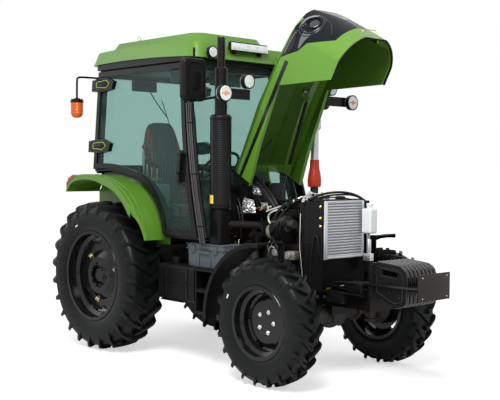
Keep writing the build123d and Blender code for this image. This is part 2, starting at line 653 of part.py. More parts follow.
def door_hinge_post():
    """The cab's share of the right door's two hinges: a bracket, two knuckles and the pin."""
    pieces = []
    for z in DOOR_HINGE_Z:
        bracket = block((DOOR_REAR_X - POST_OUT - 44, HINGE_X - 8), (-SILL_Y - HINGE_OUT - 10, -SILL_Y + 12),
                        (z - 55, z + 55))
        relief = block((DOOR_REAR_X - POST_OUT, HINGE_X + 1), (-SILL_Y + DOOR_GAP, -SILL_Y + 200),
                       (z - 60, z + 60))
        middle = Pos(HINGE_X, -SILL_Y - HINGE_OUT, z) * Cylinder(18, 64)
        ends = [Pos(HINGE_X, -SILL_Y - HINGE_OUT, z + dz) * Cylinder(13, 22) for dz in (-44, 44)]
        pin = Pos(HINGE_X, -SILL_Y - HINGE_OUT, z) * Cylinder(HINGE_PIN_R, 100)
        pieces.append(fuse([(bracket - relief) - middle] + ends + [pin]))
    return [on_side(piece) for piece in pieces]


def cab_frame():
    """Doorways, rails and the walls under the glass, as one welded shell."""
    outline = door_outline()
    doorway = offset(outline, POST_OUT, kind=Kind.ARC) - offset(outline, -POST_IN)
    sides = both(on_side(side_slab(doorway, (-POST_DEPTH, -DOOR_GAP))))
    top_y = side_y(CAB_TOP_Z) - 30
    front_rail = block((860, 925), (-top_y, top_y), (2560, 2625))
    rear_rail = block((-400, -345), (-top_y, top_y), (2560, 2625))
    rear_y = side_y(1700) - 20
    rear_wall = block((-405, -370), (-rear_y, rear_y), (1630, 1712))
    back = block((-405, -390), (-FENDER_IN, FENDER_IN), (1016, 1630))
    hinges = [half for piece in door_hinge_post() for half in both(piece)]
    return fuse(sides + [front_rail, rear_rail, rear_wall, back, roof_gutter()] + hinges)


def cab_floor():
    """Floor, firewall and seat platform between the fenders."""
    floor = block((560, 1236), (-520, 520), (1062, 1078))
    platform = block((-430, 560), (-FENDER_IN, FENDER_IN), (1000, 1016))
    riser = block((560, 576), (-520, 520), (1000, 1062))
    firewall = side_prism([(1222, 1078), (1236, 1078), (1120, 1500), (1060, 1700), (1044, 1700),
                           (1104, 1500)], (-330, 330))
    cowl = block((1222, 1275), (-570, 570), (1078, 1100))
    rear_mounts = both(block((-200, -60), (-190, -110), (960, 1000)))
    front_mounts = both(block((1020, 1042), (-205, -150), (930, 1062)))
    return fuse([floor, platform, riser, firewall, cowl] + rear_mounts + front_mounts)


ROOF_X = (-511, 1126)
ROOF_HALF_W = 605
ROOF_TOP_Z = 2893
LINING_X = (-378, 925)
LINING_Y = (-462, 462)
HATCH_HINGE = (612, ROOF_TOP_Z + RUNNING_GAP)       # x, z


def roof_fascia():
    """The roof's swept rim: leaning sides between an arched lower edge and an arched top."""
    middle = sum(ROOF_X) / 2
    length = ROOF_X[1] - ROOF_X[0]
    low = Plane.XY.offset(2640) * Pos(middle, 0) * RectangleRounded(length, 2 * ROOF_HALF_W, 110)
    high = Plane.XY.offset(2820) * Pos(middle, 0) * RectangleRounded(length - 110, 2 * ROOF_HALF_W - 110, 100)
    foot = ThreePointArc((ROOF_X[0] - 20, 2672), (300, 2686), (ROOF_X[1] + 20, 2645))
    brow = ThreePointArc((ROOF_X[0] - 20, 2788), (300, 2813), (ROOF_X[1] + 20, 2774))
    ends = [Line(foot @ 1, brow @ 1), Line(brow @ 0, foot @ 0)]
    standing = Plane(origin=(0, -700, 0), x_dir=(1, 0, 0), z_dir=(0, -1, 0)) * make_face([foot, brow] + ends)
    return loft([low, high]) & extrude(standing, amount=1400, dir=(0, 1, 0))


def cab_roof():
    """The roof: the fascia, its raised middle and the hinge ears of the hatch."""
    crown_low = Plane.XY.offset(2750) * Pos(270, 0) * RectangleRounded(1420, 960, 130)
    crown_high = Plane.XY.offset(ROOF_TOP_Z) * Pos(270, 0) * RectangleRounded(1260, 800, 110)
    crown = loft([crown_low, crown_high])
    lining = block(LINING_X, LINING_Y, (CAB_TOP_Z - 5, 2700))
    hx, hz = HATCH_HINGE
    ears = [block((hx - 10, hx + 12), (y - 4, y + 4), (ROOF_TOP_Z - 10, hz + 20)) for y in (-180, -120, 120, 180)]
    pins = both(rod((hx, -180, hz + 10), (hx, -120, hz + 10), 5))
    return fuse([roof_fascia(), crown, lining] + ears + pins)


def roof_gutter():
    """The dark gutter between the cab's top rails and the fascia."""
    ring = soft_block((-440, 985), (-572, 572), (CAB_TOP_Z - 2, 2700), 60)
    return ring - block(LINING_X, LINING_Y, (CAB_TOP_Z - 10, 2710)) - roof_fascia()


def windscreen():
    """The bent windscreen in front of the posts, trimmed to the cab's sides."""
    lines = []
    for forward in (POST_OUT + 4 + GLASS_T, POST_OUT + 4):
        low, mid, high = [(x + forward, z) for x, z in A_POST[::-1]]
        lines.append(ThreePointArc(low, mid, high))
    front, back = lines
    face = make_face([front, Line(front @ 1, back @ 1), back, Line(back @ 0, front @ 0)])
    standing = Plane(origin=(0, -SILL_Y, 0), x_dir=(1, 0, 0), z_dir=(0, -1, 0)) * face
    glass = extrude(standing, amount=2 * SILL_Y, dir=(0, 1, 0))
    beyond = on_side(block((800, 1400), (-SILL_Y - 200, -SILL_Y + DOOR_GAP), (900, 2900)))
    return glass - beyond - flip(beyond)


def rear_window():
    z0, z1 = 1712, 2560
    y0, y1 = [side_y(z) - POST_DEPTH / cos(radians(CAB_LEAN)) for z in (z0, z1)]
    return front_prism([(-y0, z0), (y0, z0), (y1, z1), (-y1, z1)], (-390, -384))


def windows():
    return group([windscreen(), rear_window()])


def lock_face():
    """The plate of the lock, which joins the door's front edge."""
    return make_face(Polyline((940, 1540), (1075, 1540), (1038, 1845), (940, 1845), close=True))


def door_opening():
    """The hole for the door's glass, less the lock's plate."""
    return offset(door_outline(), -DOOR_BORDER) - lock_face()


HINGE_COVER = [            # x from the pin, z from the hinge's middle
    (8, 28), (22, 28), (22, 58), (200, 70), (325, 26), (300, -48), (160, -66), (22, -58), (22, -28), (8, -28),
]


def door_frame():
    """The right door's frame, pierced for its glass, with its handle."""
    frame = side_slab(door_outline() - door_opening(), (0, DOOR_T))
    face_y = -SILL_Y - DOOR_T
    handle = block((958, 992), (face_y - 36, face_y - 18), (1569, 1822))
    stems = [block((962, 988), (face_y - 20, face_y + 5), (z, z + 30)) for z in (1580, 1780)]
    hinges = []
    for z in DOOR_HINGE_Z:
        cover = side_prism([(HINGE_X + dx, z + dz) for dx, dz in HINGE_COVER], (face_y - 38, face_y + 4))
        knuckle = Pos(HINGE_X, -SILL_Y - HINGE_OUT, z) * Cylinder(13, 60)
        hinges += [cover, knuckle]
    pins = [Pos(HINGE_X, -SILL_Y - HINGE_OUT, z) * Cylinder(HINGE_PIN_R + PIN_CLEARANCE, 120) for z in DOOR_HINGE_Z]
    return on_side(fuse([frame] + stems + [handle] + hinges) - pins)


def door_glass():
    return on_side(side_slab(door_opening(), (10, 10 + GLASS_T)))


# ---------------------------------------------------------------- inside the cab
def seat_base():
    foot = block((20, 380), (-170, 170), (1016, 1180))
    posts = both(block((30, 66), (-266, -244), (1185, 1500)))
    rests = both(soft_block((10, 330), (-284, -232), (1500, 1540), 18))
    return fuse([foot, block((-20, 430), (-266, 266), (1180, 1210))] + posts + rests)


def seat_cushions():
    squab = fillet(block((0, 480), (-235, 235), (1210, 1330)).edges(), 40)
    shoulders = fillet(block((-90, 30), (-225, 225), (1300, 1860)).edges(), 40)
    headrest = fillet(block((-80, 20), (-150, 150), (1800, 2150)).edges(), 40)
    lean = Pos(0, 0, 1300) * Rot(Y=-9) * Pos(0, 0, -1300)
    return fuse([squab, lean * (shoulders + headrest)])


def steering_column():
    dash = block((880, 1040), (-260, 260), (1380, 1560))
    pedestal = block((940, 1060), (-110, 110), (1078, 1380))
    column = rod((920, 0, 1540), (780, 0, 1690), 26)
    wheel_plane = Plane(origin=(770, 0, 1700), z_dir=(-140, 0, 150))
    wheel = wheel_plane * Torus(190, 14)
    spokes = [wheel_plane * Rot(Z=a) * Pos(95, 0, 0) * Box(190, 26, 10) for a in (90, 210, 330)]
    hub = wheel_plane * Cylinder(45, 30)
    return fuse([dash, pedestal, column, hub, wheel] + spokes)


# ---------------------------------------------------------------- hood
HOOD_REAR_X = 1400
HOOD_FRONT_X = 2972
NOSE_LOW_Z = 974
NOSE_LOW_X = 2950          # front of the nose at its lower edge
NOSE_TRIM = 12             # height of the rubber strip under the nose
HOOD_SECTIONS = [
    # x, half width, z of the side crease, z and half width of the shoulder, z and half width of the
    # crown's edge, z of the ridge
    (1380, 322, 1529, 1625, 304, 1682, 246, 1724),
    (2066, 322, 1527, 1628, 304, 1702, 240, 1740),
    (2457, 320, 1520, 1612, 302, 1668, 234, 1700),
    (2709, 318, 1500, 1576, 298, 1620, 224, 1648),
    (3000, 310, 1450, 1505, 284, 1548, 200, 1575),
]


def hood_section(row, inset, low):
    """One upright section across the hood, moved in by inset."""
    x, half, crease, shoulder, shoulder_half, edge, edge_half, ridge = row
    right = [(-half + inset, low), (-half + inset, crease), (-shoulder_half + inset, shoulder),
             (-edge_half + inset * 0.5, edge - inset), (0, ridge - inset)]
    corners = right + [(-y, z) for y, z in right[-2::-1]]
    return make_face(Polyline(*[(x, y, z) for y, z in corners], close=True))


def hood_bulk(inset, low):
    """The hood's whole form down to low: the lofted body cut to the rounded plan of the nose."""
    body = loft([hood_section(row, inset, low) for row in HOOD_SECTIONS], ruled=True)
    side = HOOD_HALF_W + 8 - inset
    front = HOOD_FRONT_X - 28 - inset
    right = ThreePointArc((2640, -side), (2822 - inset * 0.5, -275 + inset * 0.8), (front, -130))
    centre = ThreePointArc((front, -130), (HOOD_FRONT_X - inset, 0), (front, 130))
    left = ThreePointArc((front, 130), (2822 - inset * 0.5, 275 - inset * 0.8), (2640, side))
    plan = make_face([Line((1300, -side), (2640, -side)), right, centre, left,
                      Line((2640, side), (1300, side)), Line((1300, side), (1300, -side))])
    return body & extrude(Plane.XY.offset(low - 10) * plan, amount=1000)


def hood_side_cut(inset):
    """What the side view leaves of the hood: its lower edges and the bowed front."""
    x0 = HOOD_REAR_X
    f = HOOD_FRONT_X - 6 - inset
    edges = [
        Line((x0, 1760), (x0, 1396)), Line((x0, 1396), (1740, 1450)), Line((1740, 1450), (2290, 1492)),
        Line((2290, 1492), (2332, 1413)), Line((2332, 1413), (2576, NOSE_LOW_Z)),
        Line((2576, NOSE_LOW_Z), (NOSE_LOW_X - inset, NOSE_LOW_Z)),
        ThreePointArc((NOSE_LOW_X - inset, NOSE_LOW_Z), (f, 1330), (2938 - inset, 1560)),
        Line((2938 - inset, 1560), (2938 - inset, 1760)), Line((2938 - inset, 1760), (x0, 1760)),
    ]
    standing = Plane(origin=(0, -400, 0), x_dir=(1, 0, 0), z_dir=(0, -1, 0)) * make_face(edges)
    return extrude(standing, amount=800, dir=(0, 1, 0))


def hood_inside():
    inner = hood_bulk(HOOD_T, 940)
    bow = block((HOOD_REAR_X - 60, 2905 - HOOD_T - 1), (-400, 400), (900, 1800))
    return inner & fuse([bow, hood_bow(HOOD_T)])


def hood_bow(inset):
    """The space behind the bowed front, moved back by inset."""
    f = HOOD_FRONT_X - 6 - inset
    edges = [
        Line((2700, 900), (2938 - inset, 900)),
        ThreePointArc((2938 - inset, 900), (f, 1330), (2938 - inset, 1560)),
        Line((2938 - inset, 1560), (2938 - inset, 1800)), Line((2938 - inset, 1800), (2700, 1800)),
        Line((2700, 1800), (2700, 900)),
    ]
    standing = Plane(origin=(0, -400, 0), x_dir=(1, 0, 0), z_dir=(0, -1, 0)) * make_face(edges)
    return extrude(standing, amount=800, dir=(0, 1, 0))


MASK_EDGE = [              # x, z on the closed hood
    (2488, 1596), (2627, 1412), (2718, 1351), (2842, 1128),
    (3050, 1128), (3050, 1700), (2868, 1700), (2860, 1540),
]


def hood_shell():
    return (hood_bulk(0, 900) & hood_side_cut(0)) - hood_inside()


def hood_skins():
    """The green skin with its stiffeners and hinge arms, and the black mask let into its front."""
    shell = hood_shell()
    region = side_prism(MASK_EDGE, (-400, 400))
    sockets = both(turned_lamp([(0, -60), (66, -60), (66, 60), (0, 60)]))
    mask = fuse([(shell & region) - sockets] + lamp_housings())
    stiffener = hood_bulk(HOOD_T, 940) & block((1404, 1470), (-400, 400), (1640, 1760))
    hx, hz = HOOD_HINGE
    arm = [(hx - 14, hz - 14), (hx + 16, hz - 14), (hx + 44, hz + 26), (1452, 1636), (1452, 1668), (1404, 1668),
           (hx + 8, hz + 44), (hx - 14, hz + 14)]
    arms = both(side_prism(arm, (-96, -84)))
    pads = both(block((STRUT_HEAD[0] - 30, STRUT_HEAD[0] + 30), (-STRUT_Y + 9, -STRUT_Y + 17),
                      (STRUT_HEAD[1] - 16, STRUT_HEAD[1] + 108)))[1:]
    eye = rod((HOOD_HINGE[0], -300, HOOD_HINGE[1]), (HOOD_HINGE[0], 300, HOOD_HINGE[1]),
              HINGE_PIN_R + PIN_CLEARANCE)
    strut_pin = rod((STRUT_HEAD[0], STRUT_Y - 15, STRUT_HEAD[1]), (STRUT_HEAD[0], STRUT_Y + 10, STRUT_HEAD[1]), 5)
    bosses = both(rod((HOOD_HINGE[0], -96, HOOD_HINGE[1]), (HOOD_HINGE[0], -84, HOOD_HINGE[1]), 20))
    skin = fuse([shell - region - sockets, stiffener] + arms + bosses) - eye
    return fuse([skin, strut_pin] + pads), mask


LAMP_SEAT = Pos(2871, -238, 1425) * Rot(Z=-46) * Rot(Y=90)   # on the mask's corner, Z outwards


def turned_lamp(profile):
    """A turned piece of the right head lamp, from (radius, depth) corners."""
    face = make_face(Polyline(*[(pr, 0, pz) for pr, pz in profile], close=True))
    return LAMP_SEAT * revolve(face, axis=Axis.Z)


def lamp_housings():
    """The housings that carry the head lamps, each with a raised bezel."""
    return both(turned_lamp([(0, -46), (52, -46), (66, -20), (66, 2), (62, 6), (56, 6), (52, -4), (52, -34),
                             (0, -34)]))


def head_lamps():
    """The round lamps in their housings, with domed fronts."""
    return group(both(turned_lamp([(0, -34), (52, -34), (52, -10), (40, -4), (22, 0), (0, 1)])))


def hood_trim():
    """Rubber strips: under the nose, and along the hood's rear edge."""
    sole = hood_bulk(-3, 940) - hood_bulk(HOOD_T + 3, 930)
    reach = block((2576, 3100), (-400, 400), (NOSE_LOW_Z - NOSE_TRIM, NOSE_LOW_Z))
    behind = block((NOSE_LOW_X + 1, 3200), (-400, 400), (900, 1000))
    sole = (sole & reach) - behind
    front = block((NOSE_LOW_X - 12, NOSE_LOW_X + 1), (-118, 118), (NOSE_LOW_Z - NOSE_TRIM, NOSE_LOW_Z))
    seal = (hood_bulk(0, 1390) - hood_bulk(HOOD_T + 6, 1380)) & block((HOOD_REAR_X - 12, HOOD_REAR_X), (-400, 400), (1396, 1800))
    return [sole, front, seal]


def strut_head(turn):
    """x and z of the strut's upper eye with the hood turned up by turn."""
    dx, dz = STRUT_HEAD[0] - HOOD_HINGE[0], STRUT_HEAD[1] - HOOD_HINGE[1]
    c, s = cos(radians(turn)), sin(radians(turn))
    return HOOD_HINGE[0] + dx * c - dz * s, HOOD_HINGE[1] + dx * s + dz * c


def strut_length(head):
    return hypot(head[0] - STRUT_FOOT[0], head[1] - STRUT_FOOT[1])


STRUT_HEAD_OPEN = strut_head(HOOD_OPEN + HOOD_RISE)
STRUT_HEAD_SHUT = strut_head(HOOD_RISE)
STRUT_LONG = strut_length(STRUT_HEAD_OPEN)
STRUT_SHORT = strut_length(STRUT_HEAD_SHUT)


def strut_point(distance):
    """A point on the open strut's line, counted from its upper eye."""
    ux = (STRUT_FOOT[0] - STRUT_HEAD_OPEN[0]) / STRUT_LONG
    uz = (STRUT_FOOT[1] - STRUT_HEAD_OPEN[1]) / STRUT_LONG
    return (STRUT_HEAD_OPEN[0] + ux * distance, STRUT_Y, STRUT_HEAD_OPEN[1] + uz * distance)


def gas_strut_cylinder():
    barrel = rod(strut_point(46), strut_point(620), 14)
    bore = rod(strut_point(60), strut_point(621), 5 + PIN_CLEARANCE)
    eye = Pos(STRUT_HEAD_OPEN[0], STRUT_Y, STRUT_HEAD_OPEN[1]) * Rot(X=90) * Cylinder(12, 12)
    pin_hole = Pos(STRUT_HEAD_OPEN[0], STRUT_Y, STRUT_HEAD_OPEN[1]) * Rot(X=90) * Cylinder(5 + PIN_CLEARANCE, 40)
    return fuse([barrel, rod(strut_point(8), strut_point(47), 7), eye]) - bore - pin_hole


def gas_strut_rod():
    shaft = rod(strut_point(400), strut_point(STRUT_LONG - 10), 5)
    eye = Pos(STRUT_FOOT[0], STRUT_Y, STRUT_FOOT[1]) * Rot(X=90) * Cylinder(11, 12)
    return fuse([shaft, eye])


def hood_bracket():
    """The gantry behind the engine with the hood's hinge pin and the strut's foot."""
    hx, hz = HOOD_HINGE
    beam = block((1288, 1300), (-238, 238), (1450, 1530))
    posts = both(block((1288, 1300), (-190, -150), (1040, 1460)))
    feet = both(block((1278, 1300), (-190, -120), (1040, 1062)))
    hanger = block((1288, 1300), (190, STRUT_Y + 16), (1385, 1455))
    ears = [side_prism([(1298, hz - 90), (hx + 16, hz - 12), (hx + 16, hz + 16), (hx - 16, hz + 16), (1298, hz - 20)],
                       (y - 4, y + 4)) for y in (-74, 74)]
    pin = rod((hx, -104, hz), (hx, 104, hz), HINGE_PIN_R)
    foot = side_prism([(1298, 1390), (STRUT_FOOT[0] + 14, 1404), (STRUT_FOOT[0] + 14, 1426), (1298, 1450)],
                      (STRUT_Y + 8, STRUT_Y + 16))
    return fuse([beam, hanger, pin, foot] + posts + feet + ears)


def intake_hose():
    """The bulged hose from the engine's inlet elbow up to the intake stack."""
    z0, z1 = HOSE_Z
    profile = [(0, z0), (52, z0), (60, z0 + 14), (62, z0 + 60), (56, z0 + 110), (45, z0 + 165), (41, z0 + 200),
               (41, z1), (0, z1)]
    return lathe_z(profile, INTAKE)


def intake_stack():
    """The steel tube over the hose, with the rain bowl on top."""
    z1 = HOSE_Z[1]
    profile = [(0, z1), (35, z1), (35, 2034), (50, 2046), (56, 2064), (56, 2122), (46, 2142), (0, 2146)]
    return lathe_z(profile, INTAKE)


# ---------------------------------------------------------------- lamps, mirrors
def lamp_arms():
    """The right arm that carries the mirror and the two lamps ahead of the cab."""
    foot = on_side(block((984, 1004), (-SILL_Y - 14, -SILL_Y + DOOR_GAP), (2234, 2302)))
    arm = rod((996, -side_y(2270) - 10, 2268), (1664, -690, 2278), 11)
    plate = block((1660, 1672), (-800, -470), (2250, 2335))
    post = mirror_post(11)
    stay = rod((1300, -625, 2272), (1300, -760, 2272), 9)
    return fuse([foot, arm, plate, post, stay])


def mirror_post(r):
    """The mirror's upright tube with a rounded top."""
    return rod((1300, -760, 2240), (1300, -760, 2680), r) + Pos(1300, -760, 2680) * Sphere(r)


def mirrors():
    """The right mirror's head with its domed back, clamped on its post."""
    slab = soft_block((1275, 1330), (-890, -645), (2245, 2600), 48, Axis.X)
    head = fillet(slab.edges().group_by(Axis.X)[-1], 22)
    return head - mirror_post(11) - rod((1300, -625, 2272), (1300, -760, 2272), 9)


def cab_lamps():
    """The turn and work lamps on the arms, and the roof's two round lamps and light bar."""
    turn = rod((1672, -772, 2290), (1712, -772, 2290), 66)
    work = fuse([rod((1650, -505, 2400), (1700, -505, 2400), 58), block((1658, 1672), (-512, -498), (2335, 2350))])
    roof_round = fuse([rod((1130, -440, 2690), (1172, -440, 2690), 50), block((1040, 1140), (-448, -432), (2672, 2706))])
    bar = fuse([block((1127, 1165), (-221, 221), (2731, 2795))] +
               [block((1040, 1130), (y - 8, y + 8), (2740, 2768)) for y in (-150, 150)])
    roof = cab_roof()
    on_roof = [piece - roof for piece in both(roof_round) + [bar]]
    return group(both(turn) + both(work) + on_roof)


def beacon():
    """The lamp that hangs from a bent pipe behind the right rear post."""
    bend = [(-407, -515, 2562), (-462, -515, 2562), (-470, -760, 2562), (-470, -760, 2345)]
    pole = pipe(bend, 9, 40)
    base = rod((-470, -760, 2347), (-470, -760, 2316), 66)
    dome = fillet(rod((-470, -760, 2316), (-470, -760, 2166), 61).edges().sort_by(Axis.Z)[0], 34)
    return fuse([pole, base, dome])


def tail_lamps():
    """Lamps on the rear ends of the fenders."""
    lamp = block((-468, -380), (-880, -716), (1478, 1548))
    return group(both(lamp - arc_wall(fender_outline(0), fender_outline(-160), (-FENDER_OUT, -FENDER_IN))))


def roof_hatch():
    """The hatch in the roof's crown, hinged at its front edge."""
    hx, hz = HATCH_HINGE
    lid = soft_block((hx - 450, hx - 14), (-250, 250), (hz, hz + 20), 50)
    rib = soft_block((hx - 400, hx - 60), (-200, 200), (hz + 20, hz + 28), 40)
    barrels = both(rod((hx, -174, hz + 10), (hx, -126, hz + 10), 10))
    leaves = both(block((hx - 20, hx), (-174, -126), (hz + 4, hz + 16)))
    bore = rod((hx, -200, hz + 10), (hx, 200, hz + 10), 5 + PIN_CLEARANCE)
    return fuse([lid, rib] + barrels + leaves) - bore


# ---------------------------------------------------------------- rear linkage
LINK_PIVOT = (-60, 470)    # x, z
LIFT_PIVOT = (-225, 862)
LINK_FOOT_Y = 262
LINK_BALL = (LINK_END_X, 420, 440)   # x, y, z


def hitch_frame():
    """Drawbar, its hanger and the pins that carry the lower links."""
    drawbar = block((-560, -60), (-40, 40), (400, 430))
    hole = Pos(-520, 0, 415) * Cylinder(15, 60)
    hanger = block((-330, -262), (-150, 150), (385, 470))
    post = block((-300, -260), (-150, 150), (455, 560))
    pins = both(rod((LINK_PIVOT[0], -300, LINK_PIVOT[1]), (LINK_PIVOT[0], -196, LINK_PIVOT[1]), 14))
    lift_pins = both(rod((LIFT_PIVOT[0], -310, LIFT_PIVOT[1]), (LIFT_PIVOT[0], -196, LIFT_PIVOT[1]), 22))
    slot = block((-262, -60), (-42, 42), (395, 450))
    return group([fuse([drawbar, hanger, post]) - hole - slot] + pins + lift_pins)


def pto_shaft():
    return rod((-260, 0, 640), (-345, 0, 640), 17.5)


def lower_links():
    """Two draft links that turn on the hitch pins, tied together."""
    eye = rod((LINK_PIVOT[0], -LINK_FOOT_Y - 18, LINK_PIVOT[1]), (LINK_PIVOT[0], -LINK_FOOT_Y + 18, LINK_PIVOT[1]), 34)
    ball = Pos(LINK_BALL[0], -LINK_BALL[1], LINK_BALL[2]) * Sphere(34)
    bar = rod((LINK_PIVOT[0], -LINK_FOOT_Y, LINK_PIVOT[1]), (LINK_BALL[0], -LINK_BALL[1], LINK_BALL[2]), 17)
    tie = rod((-700, -380, 447), (-700, 380, 447), 9)
    bore = rod((LINK_PIVOT[0], -400, LINK_PIVOT[1]), (LINK_PIVOT[0], 400, LINK_PIVOT[1]), 14 + PIN_CLEARANCE)
    return fuse(both(eye) + both(bar) + both(ball) + [tie]) - bore


def lift_arms():
    """Two lift arms on the rockshaft's ends, outside the housing."""
    px, pz = LIFT_PIVOT
    boss = rod((px, -290, pz), (px, -240, pz), 44)
    arm = side_prism([(px - 10, pz + 42), (px - 262, pz + 22), (px - 290, pz - 2), (px - 262, pz - 24),
                      (px, pz - 42)], (-285, -260))
    droop = Pos(px, 0, pz) * Rot(Y=-LIFT_DROOP) * Pos(-px, 0, -pz)
    eye = rod((px - 268, -320, pz), (px - 268, -190, pz), 11)
    bore = rod((px, -320, pz), (px, -190, pz), 22 + PIN_CLEARANCE)
    return group(both(droop * (fuse([boss, arm]) - bore - eye)))


def parts():
    """Every node's name and its solid."""
    skin, mask = hood_skins()
    nodes = {
        "transmission_housing": transmission_housing(),
        "engine_block": engine_block(),
        "engine_head": engine_head(),
        "engine_accessories": engine_accessories(),
        "exhaust_manifold": exhaust_manifold(),
        "muffler": muffler(),
        "intake_hose": intake_hose(),
        "intake_stack": intake_stack(),
        "front_frame": front_frame(),
        "front_axle": front_axle(),
        "front_weights": front_weights(),
        "radiator": radiator(),
        "condenser": condenser(),
        "coolant_bottle": coolant_bottle(),
        "fan_blades": fan_blades(),
        "fuel_tank": fuel_tank(),
        "toolbox": toolbox(),
        "cab_steps": cab_steps(),
        "rear_fenders": group(both(rear_fender())),
        "cab_frame": cab_frame(),
        "cab_floor": cab_floor(),
        "cab_roof": cab_roof(),
        "windows": windows(),
        "seat_base": seat_base(),
        "seat_cushions": seat_cushions(),
        "steering_column": steering_column(),
        "hood_bracket": hood_bracket(),
        "hood_panel": opened(skin),
        "hood_mask": opened(mask),
        "hood_trim": opened(group(hood_trim())),
        "head_lamps": opened(head_lamps()),
        "gas_strut_cylinder": gas_strut_cylinder(),
        "gas_strut_rod": gas_strut_rod(),
        "lamp_arms": group(both(lamp_arms())),
        "mirrors": group(both(mirrors())),
        "cab_lamps": cab_lamps(),
        "beacon": beacon(),
        "tail_lamps": tail_lamps(),
        "roof_hatch": roof_hatch(),
        "hitch_frame": hitch_frame(),
        "pto_shaft": pto_shaft(),
        "lower_links": lower_links(),
        "lift_arms": lift_arms(),
    }
    rear_tyre = tyre(REAR_TYRE, REAR_AXLE, REAR_TRACK)
    front_tyre = tyre(FRONT_TYRE, FRONT_AXLE, FRONT_TRACK)
    paired = {
        "door_frame": door_frame(),
        "door_glass": door_glass(),
        "steering_knuckle": steering_knuckle(),
        "front_mudguard": front_mudguard(),
        "front_tyre": front_tyre,
        "front_rim": front_wheel(),
        "rear_tyre": rear_tyre,
        "rear_rim": rear_wheel(),
    }
    for name, right in paired.items():
        nodes[name + "_right"] = right
        nodes[name + "_left"] = flip(right)
    return nodes


def main():
    os.makedirs("parts", exist_ok=True)
    for name, piece in parts().items():
        solids = [Pos(ORIGIN_SHIFT, 0, 0) * solid for solid in piece.solids()]
        export_step(Compound(solids), f"parts/{name}.step")
        print(name, len(solids), "solids,", round(piece.volume / 1e6, 2), "litres")


if __name__ == "__main__":
    main()
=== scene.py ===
# %% [markdown]
# # A farm tractor with its hood open
# The solid model of the tractor is already made, and this lesson dresses it. The solid
# model is loaded first and never moved: every new piece is built around it, in metres,
# and rides on one of its moving bodies. X points forwards, Y to the tractor's left and Z up.

import json
import math
import random

import bmesh
import bpy
from mathutils import Matrix, Vector


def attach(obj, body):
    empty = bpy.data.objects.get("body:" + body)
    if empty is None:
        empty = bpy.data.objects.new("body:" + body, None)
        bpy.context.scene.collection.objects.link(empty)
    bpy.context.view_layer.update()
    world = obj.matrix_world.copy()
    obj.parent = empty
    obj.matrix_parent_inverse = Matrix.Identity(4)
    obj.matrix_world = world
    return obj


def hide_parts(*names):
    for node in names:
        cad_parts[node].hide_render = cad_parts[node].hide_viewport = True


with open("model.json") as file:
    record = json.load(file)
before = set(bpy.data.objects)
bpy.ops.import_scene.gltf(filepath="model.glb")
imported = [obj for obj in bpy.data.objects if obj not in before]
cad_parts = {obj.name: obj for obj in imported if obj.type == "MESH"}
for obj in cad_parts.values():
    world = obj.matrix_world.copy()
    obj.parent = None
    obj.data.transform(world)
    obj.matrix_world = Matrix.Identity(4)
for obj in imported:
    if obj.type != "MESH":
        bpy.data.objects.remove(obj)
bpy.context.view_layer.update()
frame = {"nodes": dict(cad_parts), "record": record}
nodes = frame["nodes"]

# %% [markdown]
# ## Measures that many pieces share
# The drawing of the tractor counts from the rear axle, but the model counts from the middle
# of its outline, so every drawn point is moved by one shift. Writing millimetres as drawn
# and shifting them in one helper keeps the numbers the same as on the drawing.

# %% Measures and the drawn-to-model shift
SHIFT = -1.1285
REAR_AXLE = Vector((SHIFT, 0, 0.688))
FRONT_AXLE = Vector((2.140 + SHIFT, 0, 0.502))
HALF_TRACK = {"rear": 0.737, "front": 0.703}
HUBS = {"rear": REAR_AXLE - Vector((0, HALF_TRACK["rear"], 0)),
        "front": FRONT_AXLE - Vector((0, HALF_TRACK["front"], 0))}
HOOD_HINGE = Vector((1.332 + SHIFT, 0, 1.557))
HOOD_TURN = math.radians(62)
SHARP = math.radians(38)
SIDES = {"right": -1, "left": 1}


def drawn(x, y, z):
    """A drawn point, in millimetres from the rear axle, as a point of the model."""
    return Vector((x / 1000 + SHIFT, y / 1000, z / 1000))


def turns(count):
    """Cosine and sine of evenly spaced angles round a full turn."""
    angles = [2 * math.pi * k / count for k in range(count)]
    return [(math.cos(a), math.sin(a)) for a in angles]


# %% [markdown]
# ## Small tools for meshes
# A mesh can be skinned over rings, turned round an axle, or swept along a line. These
# helpers cover the three, and each returns a mesh whose place is in its corners, because
# the pieces are moved by their bodies and never by hand.

# %% Pieces
def linked(name, data):
    """A new object in the scene."""
    made = bpy.data.objects.new(name, data)
    bpy.context.scene.collection.objects.link(made)
    return made


def dress(obj, material):
    """Give an object one finish."""
    obj.data.materials.clear()
    obj.data.materials.append(material)


def piece(name, mesh, material, body="chassis"):
    """A finished piece: linked, given its finish and set on its body."""
    made = linked(name, mesh)
    dress(made, material)
    mesh.shade_smooth()
    mesh.set_sharp_from_angle(angle=SHARP)
    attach(made, body)
    return made


def mirrored(mesh):
    """The same mesh on the other side of the tractor, with its faces still outwards."""
    copy = mesh.copy()
    copy.transform(Matrix.Scale(-1, 4, Vector((0, 1, 0))))
    copy.flip_normals()
    return copy


def pair(name, mesh, material, body="chassis"):
    """A right-hand mesh and its mirror image; a star in the body's name stands for the side."""
    halves = {"right": mesh, "left": mirrored(mesh)}
    return [piece(f"{name}_{side}", half, material, body.replace("*", side))
            for side, half in halves.items()]


# %% Mesh helpers
def mesh_of(bm, outward=True):
    """A mesh from a bmesh, with doubles merged and faces turned outwards."""
    bmesh.ops.remove_doubles(bm, verts=bm.verts, dist=1e-6)
    if outward:
        bmesh.ops.recalc_face_normals(bm, faces=bm.faces)
    mesh = bpy.data.meshes.new("mesh")
    bm.to_mesh(mesh)
    bm.free()
    return mesh


def joined(meshes):
    """Several meshes as one."""
    bm = bmesh.new()
    for mesh in meshes:
        bm.from_mesh(mesh)
    out = bpy.data.meshes.new("joined")
    bm.to_mesh(out)
    bm.free()
    return out


